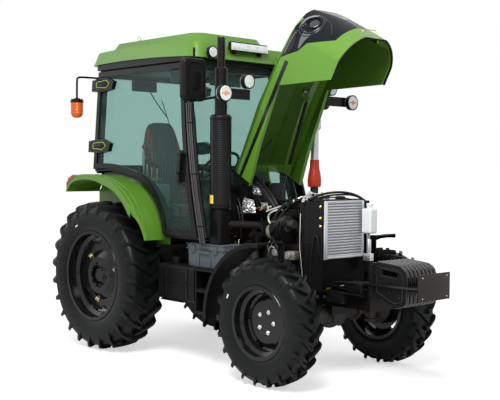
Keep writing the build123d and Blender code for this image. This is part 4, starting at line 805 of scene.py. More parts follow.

# %% [markdown]
# ## The hood's inside
# From in front the open hood shows its inside: two pressed ribs along the crown, the
# folded lower edges, a thin sheet along the inside and the pads of the strut. The ribs and
# the sheet are a darker green, which is painted shade inside the open hood.

# %% Ribs, folded edges, painted-shade sheet and fittings inside
# The hood's own green made darker: painted shade for the inside of the open hood.
HOOD_PAINTED_SHADE = finish("hood_green_painted_shade", (0.040, 0.105, 0.006), 0.5, vary=0.12, speck=30, grain=0.05, grain_size=700)
HOOD_LOW = ((1404, 1402), (1740, 1456), (2290, 1497), (2332, 1420), (2576, 990), (2900, 990))


def crown_rib(y):
    """A pressed rib under the crown at y."""
    rings = []
    for x in (1474, 1500, 1780, 2066, 2300, 2457, 2560, 2580):
        deep = 2 if x in (1474, 2580) else 9
        low = hood_under(x, y) - deep
        rings.append([drawn(x, y - 22, hood_under(x, abs(y) - 22)), drawn(x, y - 12, low), drawn(x, y + 12, low),
                      drawn(x, y + 22, hood_under(x, abs(y) + 22))])
    return skin(rings)


def folded_edge():
    """The inward fold along the lower edge of the hood's right side."""
    rings = []
    for x, z in ((1404, 1397), (1740, 1451), (2010, 1472), (2284, 1493)):
        y = -hood_half(x) + 10
        rings.append([drawn(x, y + dy, z + dz) for dy, dz in ((0, 0), (22, 1), (22, 7), (3, 6), (0, 24))])
    return skin(rings)


def hood_shade_liner():
    """A thin darker green sheet inside the hood, from its rear edge into the nose, which paints the shade inside
    the open hood.
    """
    rings = []
    for x in (1412, 1480, 1740, 2066, 2290, 2332, 2400, 2457, 2576, 2640, 2709, 2760, 2800, 2836, 2862):
        half, edge, edge_half, ridge = between(HOOD_ROWS, x)
        out, low = hood_half(x), between(HOOD_LOW, x)[0]
        crown = edge_half * out / half - 6
        ring = []
        for inset, way in ((12.5, 1), (15, -1)):
            wall, mid = out - inset, (edge + ridge) / 2 - inset - 2
            right = [(-wall, low), (-wall, edge - 66), (-crown, edge - inset - 2), (-crown * 0.5, mid)]
            path = right + [(0, ridge - inset - 2)] + [(-y, z) for y, z in right[::-1]]
            ring += [drawn(x, y, z) for y, z in path[::way]]
        rings.append(ring)
    return skin(rings)


# The sheet and the pressed ribs carry the darker green, which paints the shade inside the hood.
piece("hood_shade_liner", opened(hood_shade_liner()), HOOD_PAINTED_SHADE, "hood")
piece("hood_ribs", opened(joined([crown_rib(-130), crown_rib(130)])), HOOD_PAINTED_SHADE, "hood")
pair("hood_fold", opened(folded_edge()), FINISHES["green_paint"], "hood")
pads = boxes(0.002, *[row for y in (-205, 213) for row in ((2118, y - 26, 1640, 2204, y + 10, 1648),
                                                           (2130, y - 4, 1600, 2190, y + 4, 1650))])
piece("strut_pads", opened(joined(pads)), BRIGHT_ZINC, "hood")
latch = [run([(1500, -60, 1690), (1560, -60, 1668), (1600, -40, 1664), (1660, 20, 1668), (1700, 60, 1690)], 4),
         soft_box((1486, -80, 1676), (1530, -40, 1700), 0.002)]
piece("hood_latch", opened(joined(latch)), FINISHES["black_paint"], "hood")
print("hood inside done")

# %% [markdown]
# ## The cab's outside
# The front posts are wide dark covers with three pipes clamped to them. The door hinges sit
# under moulded covers with a raised green line, and each door has a lock at its edge.

# %% Lines of the cab's side
SILL_Y, SILL_Z = 638, 1098
CAB_LEAN = math.radians(3.78)
DOOR_EDGE = ((932, 2612), (1034, 1841), (1238, 1100))


def part(name, meshes, coat, slot=None):
    """Several meshes as one piece of the chassis; a slot's name given as the finish stands for that slot's finish.
    The slot argument is not used.
    """
    if isinstance(coat, str):
        coat, slot = FINISHES[coat], coat
    return piece(name, joined(meshes), coat)


def side_y(z):
    """Distance of the cab's side plane from the middle at height z."""
    return SILL_Y - (z - SILL_Z) * math.tan(CAB_LEAN)


def post_x(z):
    """The front edge of the door at height z: a curve through its three drawn points."""
    (x0, z0), (x1, z1), (x2, z2) = DOOR_EDGE
    return (x0 * (z - z1) * (z - z2) / ((z0 - z1) * (z0 - z2)) + x1 * (z - z0) * (z - z2) / ((z1 - z0) * (z1 - z2))
            + x2 * (z - z0) * (z - z1) / ((z2 - z0) * (z2 - z1)))


def leaned(mesh):
    """Lean a mesh drawn on an upright side plane into the cab's side."""
    foot = Matrix.Translation(drawn(0, -SILL_Y, SILL_Z))
    mesh.transform(foot @ Matrix.Rotation(-CAB_LEAN, 4, "X") @ foot.inverted())
    return mesh


# %% Post covers, their pipes and clamps
def post_cover():
    """The wide cover over the front post."""
    rings = []
    for z in (1104, 1250, 1400, 1550, 1700, 1841, 1980, 2110, 2250, 2330):
        x, y = post_x(z), -side_y(z)
        wide = 118 if z < 2200 else 118 - (z - 2200) * 0.5
        rings.append([drawn(x + dx, y + dy, z) for dx, dy in ((25, -5), (25, -24), (40, -30), (wide - 12, -30),
                                                              (wide, -20), (wide, -5))])
    return skin(rings)


def post_pipe(ahead, r):
    """A pipe up the post cover, this far ahead of the door's edge."""
    points = [(post_x(z) + ahead, -side_y(z) - 31 - r, z) for z in (1060, 1300, 1600, 1900, 2150, 2250)]
    return run(points, r, resolution=8)


PIPE_BLACK = finish("gloss_pipe", (0.004, 0.004, 0.005), 0.10, vary=0.1, coat=0.9, specular=0.5)
CAB_TRIM = finish("cab_trim_plastic", (0.004, 0.0043, 0.0048), 0.34, specular=0.12, vary=0.2, grain=0.15,
                  grain_size=700)
pipes = [post_pipe(ahead, r) for ahead, r in ((50, 10), (76, 9), (100, 9))]
clamps = [soft_box((post_x(z) + 36, -side_y(z) - 52, z - 5), (post_x(z) + 112, -side_y(z) - 28, z + 5), 0.002)
          for z in (1200, 1640, 2080)]
pair("post_cover", post_cover(), CAB_TRIM)
pair("post_pipes", joined(pipes), PIPE_BLACK)
pair("pipe_clamps", joined(clamps), CAB_TRIM)

# %% Raised line on the hinge covers, and the door's lock
LIME = finish("lime_line", (0.33, 0.50, 0.06), 0.4, vary=0.08)
HINGE_X, HINGES_Z = -397, (1890, 2480)
HINGE_LINE = ((46, 24), (48, 28), (206, 38), (212, 37), (254, 6), (254, -1), (212, -31), (206, -33), (48, -22),
              (46, -18))
lines = [wire_loop([drawn(HINGE_X + x, -708, z + dz) for x, dz in HINGE_LINE], 0.0032) for z in HINGES_Z]
caps = [soft_box((HINGE_X + 70, -708, z - 18), (HINGE_X + 226, -702, z + 22), 0.002) for z in HINGES_Z]
lock = [round_part([(0, -16), (9, -16), (11, -13), (11, 4), (0, 4)], (975, -700, 1640), "Y", 20),
        soft_box((955, -676, 1560), (995, -668, 1832), 0.002)]
pair("hinge_lines", leaned(joined(lines)), LIME, "door_*")
pair("hinge_pads", leaned(joined(caps)), CAB_TRIM, "door_*")
pair("door_lock", leaned(joined(lock)), CAB_TRIM, "door_*")
print("cab outside done")

# %% [markdown]
# ## Silencer, mirrors and lamps
# The silencer's sleeve is rolled with fine ribs all the way up. Each lamp has a dark
# housing, a bright dish and a clear domed front, and the work lamps have seven small lights.

# %% Ribbed sleeve and blank label
EXHAUST = (1363, -516)
SLEEVE = finish("silencer_black", (0.005, 0.005, 0.006), 0.36, vary=0.2, specular=0.2, grain=0.1, grain_size=300)
LABEL = finish("blank_yellow_label", (0.80, 0.56, 0.06), 0.45, vary=0.05)
sleeve = [(88.6, 1352), (91.4, 1354)]
for z in range(1378, 2100, 19):
    sleeve += [(91.4, z), (90.0, z + 3.5), (90.0, z + 6.0), (91.4, z + 9.5)]
sleeve += [(91.4, 2118), (86, 2130), (72, 2141), (52.6, 2143), (50, 2120), (80, 2110), (86, 2100), (86, 1360)]
part("silencer_sleeve", [round_part(sleeve + sleeve[:1], (*EXHAUST, 0), "Z", 56)], SLEEVE, "black_paint")
straps = [round_part([(inner, low), (outer, low + step), (outer, high - step), (inner, high), (inner, low)],
                     (*EXHAUST, 0), "Z", steps)
          for inner, outer, low, high, step, steps in ((90.5, 93.5, 1363, 1381, 1, 56),
                                                       (90.5, 93.5, 2099, 2117, 1, 56),
                                                       (52.6, 55, 2200, 2218, 2, 40), (52.6, 56, 2488, 2512, 2,
                                                                                       40))]
part("silencer_bands", straps, "black_paint")
label = []
for turn in range(-118, -82, 5):
    c, s = math.cos(math.radians(turn)), math.sin(math.radians(turn))
    label.append([drawn(EXHAUST[0] + r * c, EXHAUST[1] + r * s, z)
                  for r, z in ((91, 1392), (92.4, 1392), (92.4, 1464), (91, 1464))])
piece("blank_label", skin(label), LABEL)

# %% Lamp housings, dishes and fronts
HOUSING = finish("lamp_housing", (0.004, 0.004, 0.0045), 0.3, vary=0.15, specular=0.14)
DISH = finish("lamp_dish", (0.74, 0.76, 0.77), 0.16, metal=0.35, vary=0.06, speck=90)
CLEAR = glass("clear_lens", (0.86, 0.88, 0.90), 0.90)
BULB = finish("amber_bulb", (0.80, 0.20, 0.02), 0.2, vary=0.05, coat=0.4)


def lamp(name, centre, r, back, front, small=0):
    """A round lamp that faces forwards: housing, dish with rings, bulb or small lights, and front."""
    y, z = centre
    house = [(0, back - 14), (r * 0.45, back - 14), (r * 0.8, back - 6), (r + 2, back + 6), (r + 3.5, front - 4),
             (r + 3.5, front + 2), (r - 1, front + 4), (r - 5, front + 2), (r - 5, front + 0.6), (0, front + 0.6)]
    dish = [(0, front + 0.5), (r - 6, front + 0.5), (r - 6, front + 0.8), (r - 9, front + 3)]
    for k in range(4):
        dish += [(r * (0.72 - 0.15 * k), front + 1.2), (r * (0.66 - 0.15 * k), front + 2.6)]
    dish.append((0, front + 1.2))
    dome = [(r - 5, front + 2), (r - 6, front + 5), (r * 0.7, front + 9), (r * 0.35, front + 11), (0, front + 11.5)]
    if small:
        cup = [(0, front + 1), (r * 0.2, front + 1), (r * 0.22, front + 5), (r * 0.12, front + 3), (0, front + 3)]
        lights = [round_part(cup, (0, y + r * 0.55 * c, z + r * 0.55 * s), "X", 16)
                  for c, s in turns(small - 1) + [(0, 0)]]
    else:
        bow = 0.62 * r
        bulb = [(0, front + 1), (r * 0.3, front + 1), (r * 0.24, front + 7), (0, front + 8)]
        lights = [soft_box((front + 1, y - bow, z - 7), (front + 6, y + bow, z + 7), 0.002),
                  round_part(bulb, (0, y, z), "X", 24)]
    for label, profile, coat in (("housing", house, HOUSING), ("dish", dish, DISH), ("front", dome, CLEAR)):
        piece(f"{name}_{label}", round_part(profile, (0, y, z), "X"), coat)
    part(f"{name}_lights", lights, DISH if small else BULB)


for side, s in SIDES.items():
    lamp(f"turn_lamp_{side}", (772 * s, 2290), 66, 1672, 1712)
    lamp(f"work_lamp_{side}", (505 * s, 2400), 58, 1650, 1700, small=7)
    lamp(f"roof_lamp_{side}", (440 * s, 2690), 50, 1130, 1172, small=7)
cooling_fins = in_row(box_mesh((1128, -215, 2799), (1158, -212, 2806)), 24, (0, 0.0186, 0), HOUSING)
feet = boxes(0.002, *[(1096, y - 10, 2700, 1150, y + 10, 2728) for y in (-150, 150)])
part("light_bar_body", [soft_box((1122, -226, 2727), (1160, 226, 2799)), cooling_fins] + feet, HOUSING)
cell = soft_box((1162, -208, 2738), (1168.5, -112, 2788), 0.003)
piece("light_bar_cells", in_row(cell, 4, (0, 0.1067, 0), DISH), DISH)
piece("light_bar_front", soft_box((1166, -216, 2733), (1172, 216, 2793), 0.002), CLEAR)
print("lamps done")

# %% Mirror panels and red reflectors on the fenders
MIRROR_MID = (1330, -768, 2422)
MIRROR_CORNER = 0.45


def blunted(value, power):
    """A cosine or sine pushed outwards, which turns an oval into a rounded box."""
    return math.copysign(abs(value) ** power, value)


def mirror_ring(ahead, wide, tall):
    """A rounded outline on the mirror's domed front."""
    x, y, z = MIRROR_MID
    return [drawn(x + ahead, y + blunted(c, MIRROR_CORNER) * wide, z + blunted(s, MIRROR_CORNER) * tall)
            for c, s in turns(40)]


rim = [mirror_ring(*row) for row in ((-4, 96, 150), (1, 95, 149), (4, 88, 142), (2, 76, 130), (-3, 70, 122))]
middle = [mirror_ring(*row) for row in ((-4, 46, 88), (3, 44, 86), (6, 36, 78), (6, 6, 40))]
pair("mirror_panel", skin(rim, middle), CAB_TRIM)
red = [[drawn(x, y, z) for y, z in ((-908, low), (-800, low), (-802, high), (-906, high))]
       for x, low, high in ((-412, 1522, 1556), (-396, 1540, 1584), (-318, 1590, 1618), (-300, 1594, 1612))]
pair("fender_reflector", skin(red), FINISHES["red_plastic"])

# %% Roof eyes, hatch frame, beacon and its pole
for side, s in SIDES.items():
    foot = round_part([(0, 2880), (34, 2880), (34, 2886), (12, 2890), (9, 2912), (0, 2912)], (-87, 300 * s, 0),
                      "Z", 24)
    eye = wire_loop([drawn(-87 + 24 * c, 300 * s, 2932 + 24 * up) for c, up in turns(28)], 0.0065)
    part(f"roof_eye_{side}", [foot, eye], BRIGHT_ZINC)
    piece(f"roof_eye_pad_{side}", soft_box((-147, 300 * s - 40, 2872), (-27, 300 * s + 40, 2881), 0.003), HOUSING)
hatch_frame = boxes(0.003, (172, -236, 2921, 588, -214, 2929), (172, 214, 2921, 588, 236, 2929),
                    (340, -230, 2919, 420, 230, 2930))
piece("hatch_frame", joined(hatch_frame), HOUSING, "roof_hatch")
pole = run([(-407, -515, 2562), (-440, -515, 2562), (-462, -560, 2562), (-468, -700, 2562), (-470, -752, 2556),
            (-470, -760, 2530), (-470, -760, 2400), (-470, -760, 2348)], 10, resolution=8)
cap = round_part([(0, 2312), (60, 2312), (66, 2316), (66, 2322), (60, 2328), (60, 2340), (52, 2346), (24, 2348),
                  (24, 2356), (0, 2356)], (-470, -760, 0), "Z", 36)
studs = [round_part([(0, 2340), (5, 2340), (5, 2352), (0, 2353)],
                    (-470 + 48 * math.cos(k * 1.05), -760 + 48 * math.sin(k * 1.05), 0), "Z", 10) for k in range(6)]
lens = [(0, 2166), (22, 2167), (38, 2173), (50, 2186), (56, 2202)]
for z in range(2206, 2306, 14):
    lens += [(57, z), (60, z + 4), (60, z + 8), (57, z + 12)]
lens += [(58, 2314), (0, 2314)]
stand = part("beacon_stand", [pole, cap] + studs, HOUSING, "black_plastic")
amber = part("beacon_lens", [round_part(lens, (-470, -760, 0), "Z", 56)], "orange_plastic")
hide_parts("beacon")
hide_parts("beacon")
print("roof fittings done")

# %% [markdown]
# ## Inside the cab
# Through the tinted glass show the seat, the grey side panels, the levers with their red
# knob, the dash and the rear wiper with its motor. The seat is a padded back and squab:
# lofted forms with sewn channels, because their sections change evenly with height.

# %% Padded back and squab
CUSHION_CORNER = 0.42
CHANNEL_DEPTH, CHANNEL_PITCH = 0.006, 0.064


def pad_ring(width, depth, channel):
    """A cushion's section: a rounded box whose front face (+first axis) has sewn channels."""
    ring = []
    flat = width * 0.36
    for c, s in turns(56):
        u = blunted(s, CUSHION_CORNER) * width / 2
        v = blunted(c, CUSHION_CORNER) * depth / 2
        if c > 0.25 and abs(u) < flat:
            v -= channel * (0.5 + 0.5 * math.cos(2 * math.pi * u / CHANNEL_PITCH)) * 0.6
            v += 0.012 * (1 - (u / flat) ** 2)
        elif c > 0.25:
            v += 0.014 * math.sin(math.pi * min(1, (abs(u) - flat) / (width * 0.13)))
        ring.append((u, v))
    return ring


def cushion(rows, sewn, place):
    """A cushion skinned over rows of distance along it, width and depth; channels stop short of its ends."""
    return skin([[place(along, u, v) for u, v in
                  pad_ring(width, depth, CHANNEL_DEPTH if sewn[0] < along < sewn[1] else 0.0)]
                 for along, width, depth in rows])


BACK_ROWS = (
    (0.010, 0.30, 0.040), (0.026, 0.42, 0.085), (0.07, 0.455, 0.112), (0.16, 0.47, 0.122), (0.28, 0.475, 0.120),
    (0.40, 0.470, 0.116), (0.50, 0.455, 0.112), (0.60, 0.42, 0.106), (0.68, 0.375, 0.100), (0.75, 0.335, 0.096),
    (0.805, 0.295, 0.088), (0.835, 0.24, 0.072), (0.848, 0.16, 0.045))
SQUAB_ROWS = (
    (0.008, 0.34, 0.05), (0.03, 0.44, 0.10), (0.10, 0.475, 0.125), (0.22, 0.48, 0.128), (0.34, 0.475, 0.126),
    (0.42, 0.46, 0.118), (0.458, 0.42, 0.09), (0.474, 0.34, 0.045))
BACK_TILT = Matrix.Rotation(math.radians(-9), 4, "Y")
back = cushion(BACK_ROWS, (0.05, 0.66),
               lambda along, u, v: BACK_TILT @ Vector((v - 0.030, u, along)) + drawn(0, 0, 1300))
squab = cushion(SQUAB_ROWS, (0.05, 0.42), lambda along, u, v: drawn(0, 0, 1270) + Vector((along, u, v)))
for name, mesh, fill in (("seat_back", back, 0.8), ("seat_squab", squab, 0.7)):
    pad = piece(name, mesh, FINISHES["seat_cloth"])
    smooth = pad.modifiers.new("smooth", "SUBSURF")
    smooth.levels = smooth.render_levels = 1
    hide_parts("seat_cushions")

# %% Side panels, levers, wiper and dash fittings
PANEL_GREY = finish("cab_panel_grey", (0.15, 0.17, 0.17), 0.55, vary=0.12, grain=0.25, grain_size=500)
KNOB_RED = finish("red_knob", (0.50, 0.012, 0.012), 0.3, coat=0.4)
STRIP = finish("blank_strip", (0.50, 0.52, 0.16), 0.4, vary=0.05)
ARCH = ((-366, 1020), (-366, 1632), (-200, 1648), (0, 1646), (190, 1590), (330, 1500), (440, 1390), (560, 1210),
        (640, 1082), (574, 1082), (574, 1020))
pair("side_panel", skin([[drawn(x, y, z) for x, z in ARCH] for y in (-518, -500)]), PANEL_GREY)
console = [soft_box((-120, -500, 1300), (470, -345, 1540), 0.02),
           soft_box((-360, -508, 1560), (330, -330, 1590), 0.010)]
pair("side_console", joined(console), PANEL_GREY)
part("blank_strip", [soft_box((x, -522, 1372 - 0.12 * (x - 330)), (x + 34, -517, 1404 - 0.12 * (x - 330)), 0.003)
                     for x in (290, 328, 366, 404)], STRIP)
levers, knobs = [], []
for x, y, top in ((90, -380, 1868), (170, -400, 1730), (240, -400, 1700), (310, -390, 1690)):
    levers.append(run([(x, y, 1530), (x + 6, y + 2, 1600), (x + 2, y + 4, top)], 6))
    knobs.append(round_part([(0, top - 8), (14, top - 6), (21, top + 12), (19, top + 30), (8, top + 40),
                             (0, top + 40)],
                            (x + 2, y + 4, 0), "Z", 24))
part("cab_levers", levers, BRIGHT_ZINC)
piece("red_knob", knobs[0], KNOB_RED)
part("black_knobs", knobs[1:], HOUSING, "black_plastic")
wiper = [soft_box((-374, -188, 2452), (-322, 100, 2560), 0.012),
         run([(-376, 49, 2470), (-379, 52, 2430), (-379, 282, 2198)], 6),
         run([(-380, 200, 2380), (-380, 285, 2195), (-380, 330, 2060)], 4.5)]
part("rear_wiper", wiper, HOUSING, "black_plastic")
part("sun_visors", boxes(0.006, (560, -430, 2470, 575, -40, 2590), (560, 40, 2470, 575, 430, 2590)), PANEL_GREY,
     "grey_plastic")
part("roof_lining", [soft_box((-330, -440, 2600), (850, 440, 2624), 0.008)], PANEL_GREY, "grey_plastic")
part("dash_cluster", [soft_box((860, -200, 1540), (1000, 200, 1640), 0.03)], HOUSING, "black_plastic")
grab = run([(930, -470, 1500), (880, -480, 1560), (840, -486, 1900), (860, -480, 2000), (900, -470, 2040)], 11)
part("grab_rail", [grab], HOUSING, "black_plastic")
print("cab inside done")

# %% [markdown]
# ## The engine bay
# With the hood up the whole engine bay shows. The radiator stands in a black shell with
# bolts, with the condenser's bright tubes in front. Behind it come the fan's drum, hoses,
# the heat shield of crinkled foil, filters and the wiring that hangs over the engine.

# %% Finishes of the bay
TUBE_BRIGHT = finish("bright_condenser_tube", (0.62, 0.64, 0.66), 0.3, metal=0.6, vary=0.06, speck=200)
FIN_DARK = finish("fin_shadow", (0.30, 0.31, 0.32), 0.45, metal=0.5, vary=0.15, speck=300)
HOSE_BLACK = finish("hose_rubber", (0.005, 0.005, 0.005), 0.34, vary=0.2, grain=0.1, specular=0.3)
FOIL = finish("crinkled_foil", (0.50, 0.50, 0.50), 0.3, metal=0.8, vary=0.15, speck=60, grain=0.3, grain_size=60)
GOLD_PASSIVE = finish("gold_passivated", (0.66, 0.44, 0.12), 0.32, metal=0.9, vary=0.25, speck=120)
WHITE_HOSE = finish("white_hose", (0.62, 0.62, 0.58), 0.4, vary=0.08)
COPPER = finish("copper_fitting", (0.55, 0.24, 0.12), 0.3, metal=1.0, vary=0.2)

# %% Condenser: flat tubes, fins between them, and two headers
TUBE_PITCH = (0, 0, 0.0222)
folds = []
for k in range(105):
    y, z = -253 + 4.0 * k, 1006 + (10.5 if k % 2 else 0.5)
    folds.append([drawn(2340.5, y, z), drawn(2343.5, y, z), drawn(2343.5, y, z + 1.2), drawn(2340.5, y, z + 1.2)])
tubes = in_row(soft_box((2340, -254, 998), (2345.5, 164, 1006), 0.0022), 20, TUBE_PITCH, TUBE_BRIGHT)
fins = in_row(skin(folds), 19, TUBE_PITCH, FIN_DARK)
piece("condenser_tubes", tubes, TUBE_BRIGHT)
piece("condenser_fins", fins, FIN_DARK)
headers = boxes(0.004, (2334, -286, 972, 2352, -254, 1434), (2334, 164, 976, 2348, 190, 1434))
headers += boxes(0.002, (2336, -256, 1424, 2348, 168, 1436), (2336, -256, 976, 2348, 168, 992))
part("condenser_headers", headers + [soft_box((2344, -296, 974), (2356, -284, 1250), 0.003)], TUBE_BRIGHT)
print("condenser faces", len(tubes.polygons) + len(fins.polygons))

# %% Radiator shell: panels, bolts, top tank, filler and lower grille
part("radiator_shell", boxes(0.002, (2106, -293, 728, 2120, -286, 1432), (2306, -295, 728, 2330, -286, 1432),
                             (2180, -291, 740, 2188, -286, 1424), (2110, -291, 1090, 2320, -287, 1100)),
     "radiator_black")
BOLT = ((0, -288.5), (7, -288.5), (7, -291), (5, -295), (0, -296))
part("radiator_bolts", [round_part(BOLT, (x, 0, z), "Y", 12) for z in (760, 905, 1050, 1190, 1310, 1400)
                        for x in (2128, 2302)], "black_plastic")
CLIP = ((0, -298), (12, -298), (12, -304), (6, -310), (0, -310))
clips = [soft_box((2333, -236, z), (2341, -214, z + 22), 0.002) for z in (1385, 1310)]
part("condenser_clips", clips + [round_part(CLIP, (2312, 0, z), "Y", 14) for z in (1392, 1300, 1236)], GOLD_PASSIVE)
filler = [(0, 1424), (34, 1424), (34, 1440), (42, 1442), (42, 1462), (30, 1468), (0, 1468)]
part("radiator_top", [round_part(filler, (2200, 60, 0), "Z", 32),
                      soft_box((2186, -268, 1424), (2300, 262, 1444), 0.008)],
     "radiator_black")
blade = box_mesh((2292, -250, 742), (2298, -246, 966))
part("radiator_fins", [in_row(blade, 62, (0, 0.008, 0), FINISHES["radiator_black"])], "radiator_black")
part("brass_brace", [run([(2336, -230, 742), (2342, -60, 750), (2346, 60, 760)], 6),
                     soft_box((2326, -244, 734), (2350, -200, 748), 0.002)], GOLD_PASSIVE)

# %% Hoses over and beside the radiator
over = [
    hose([(2150, -250, 1440), (2170, -190, 1478), (2230, -60, 1505), (2280, 60, 1500), (2320, 170, 1466),
          (2350, 226, 1410), (2360, 240, 1382)], 10),
    hose([(2156, -200, 1440), (2180, -130, 1470), (2250, 10, 1486), (2300, 120, 1478), (2334, 200, 1442),
          (2352, 250, 1330), (2354, 254, 1180), (2350, 250, 1060)], 8),
    hose([(2200, -236, 1438), (2250, -150, 1470), (2300, -40, 1466), (2330, 60, 1440)], 6),
    hose([(2300, -296, 1010), (2296, -304, 1120), (2270, -300, 1220), (2200, -300, 1010), (2210, -300, 860),
          (2190, -290, 780)], 7),
    hose([(2110, -262, 1440), (2090, -280, 1425), (2075, -290, 1300), (2080, -296, 1100), (2090, -292, 900)], 8)]
part("radiator_hoses", over, HOSE_BLACK)
top_hose = hose([(1858, -215, 1386), (1925, -215, 1400), (1990, -215, 1438), (2061, -215, 1455), (2130, -205, 1440),
                 (2180, -190, 1430)], 26)
bottom_hose = hose([(1900, -150, 760), (1980, -190, 760), (2060, -200, 800), (2150, -200, 820)], 24)
part("coolant_hoses", [top_hose, bottom_hose], HOSE_BLACK)
FITTING = ((0, -14), (9, -14), (12, -8), (12, 6), (8, 10), (8, 18), (0, 18))
silver = []
for i, (x, y, z) in enumerate(((2148, -312, 1462), (2140, -252, 1478), (2152, -186, 1470), (2160, -120, 1482),
                               (2170, -60, 1466), (2120, -290, 1448), (2130, -226, 1496))):
    silver += [round_part(FITTING, (x, y, z), "Z" if i % 2 else "Y", 14),
               soft_box((x - 18, y - 10, z - 26), (x + 12, y + 8, z - 12), 0.003)]
silver += [run([(2140, -320, 1462), (2150, -250, 1500), (2160, -150, 1478), (2166, -72, 1492)], 6),
           run([(2100, -336, 1450), (2130, -300, 1486), (2150, -220, 1460)], 5)]
part("silver_fittings", silver, BRIGHT_ZINC)
white = [hose([(1891, -300, 1353), (1820, -310, 1350), (1735, -300, 1318), (1715, -296, 1282), (1730, -300, 1245),
               (1760, -300, 1226), (1800, -290, 1190)], 8),
         hose([(1900, -290, 1392), (1830, -300, 1366), (1760, -310, 1352), (1700, -300, 1330)], 6)]
part("white_hoses", white, WHITE_HOSE)

# %% Fan ring, compressor, pulley and bay hoses
ring = [(196, 2020), (214, 2016), (222, 2024), (222, 2100), (212, 2104), (200, 2098), (196, 2060), (196, 2020)]
drum = [(0, 1760), (70, 1764), (84, 1778), (88, 1800), (88, 1850), (80, 1856), (80, 1872), (96, 1876), (98, 1890),
        (84, 1894), (84, 1906), (98, 1910), (98, 1922), (60, 1926), (30, 1922), (0, 1922)]
port = [(0, -372), (24, -372), (30, -362), (30, -330), (0, -330)]
pulley = [(0, 1994), (70, 1994), (78, 2000), (66, 2006), (78, 2012), (66, 2018), (78, 2024), (60, 2028), (0, 2028)]
end_cap = [(0, 1700), (44, 1702), (60, 1714), (64, 1740), (64, 1762), (0, 1764)]
part("compressor_body", [round_part(drum, (0, -262, 1190), "X", 44),
                         soft_box((1790, -330, 1262), (1860, -210, 1290), 0.006),
                         round_part(port, (1824, 0, 1190), "Y", 28)], "black_plastic")
part("fan_ring", [round_part(ring, (0, 0, 1040), "X", 56)], "radiator_black")
part("idler_pulley", [round_part(pulley, (0, -150, 1120), "X", 40)], "black_plastic")
part("alternator_end", [round_part(end_cap, (0, -262, 1166), "X", 36)], "pump_casting")
big = [hose([(1925, -290, 1400), (1850, -300, 1350), (1790, -310, 1250), (1776, -310, 1160), (1800, -300, 1060),
             (1850, -280, 1000)], 20),
       hose([(1940, -270, 1386), (1880, -290, 1330), (1830, -330, 1220), (1824, -350, 1190)], 13)]
part("bay_hoses", big, HOSE_BLACK)
part("hose_clamps", [band(27, 30, 7, at, "X", 24) for at in ((1960, -215, 1420), (2105, -210, 1450))], BRIGHT_ZINC)
part("pale_pipe", [run([(2094, -300, 1330), (2098, -306, 1200), (2090, -304, 1060), (2110, -304, 930),
                        (2124, -302, 800)], 4.5)], BRIGHT_ZINC)

# %% Valve cover, loom and the black boxes
cover = [soft_box((1330, -108, 1262), (1912, 112, 1322), 0.014),
         soft_box((1360, -60, 1316), (1880, 70, 1340), 0.012)]
cover += [round_part([(0, 1322), (11, 1322), (11, 1332), (7, 1338), (0, 1338)], (x, y, 0), "Z", 14)
          for x in range(1370, 1900, 86) for y in (-92, 96)]
cover += [round_part([(0, 1338), (30, 1338), (34, 1344), (34, 1366), (26, 1372), (0, 1372)], (1790, 10, 0), "Z",
                     28),
          soft_box((1290, -330, 1060), (1302, 330, 1560), 0.003),
          soft_box((1302, -200, 1340), (1420, 190, 1440), 0.015),
          soft_box((1450, 20, 1340), (1700, 150, 1420), 0.02),
          soft_box((1560, -190, 1330), (1720, -60, 1372), 0.012)]
part("valve_cover", cover, "black_plastic")
random.seed(7)
loom = []
for k in range(7):
    dy, dz = random.uniform(-32, 32), random.uniform(-26, 26)
    loom.append(hose([(1440 + dz, -216 + dy, 1610 + dz), (1504 + dz, -220 + dy, 1600), (1590, -226 + dy, 1540 + dz),
                      (1680 + dz, -240 + dy, 1466 + dz), (1762 + dz, -246 + dy, 1386), (1800, -230 + dy, 1330)],
                     9 + k % 3 * 2))
for k in range(5):
    dy = random.uniform(-30, 40)
    loom.append(hose([(1450 + 20 * k, -200 + dy, 1600), (1420 + 26 * k, -180 + dy, 1500),
                      (1440 + 40 * k, -160 + dy, 1400), (1460 + 44 * k, -130 + dy, 1330)], 8))
loom += [hose([(1240, -250, 1440), (1290, -262, 1380), (1330, -270, 1290), (1345, -262, 1180), (1330, -250, 1080)],
              13),
         hose([(1280, -250, 1450), (1322, -262, 1400), (1366, -270, 1300), (1380, -262, 1190)], 11)]
part("engine_loom", loom, HOSE_BLACK)
black_boxes = [soft_box((1340, -286, 1450), (1446, -210, 1560), 0.008),
               soft_box((1350, -291, 1470), (1436, -284, 1540))]
black_boxes += boxes(0.01, (1470, -196, 1120, 1640, -150, 1240), (1600, -330, 1150, 1690, -230, 1210))
black_boxes += [round_part([(0, -330), (38, -330), (44, -322), (44, -250), (0, -250)], (1640, 0, 1150), "Y", 32),
                round_part([(0, 1060), (40, 1060), (44, 1070), (44, 1160), (38, 1168), (0, 1168)], (1580, -270, 0),
                           "Z",
                           32)]
part("bay_boxes", black_boxes, "black_plastic")


# %% Crinkled heat shields
FOIL_THICK = 0.002


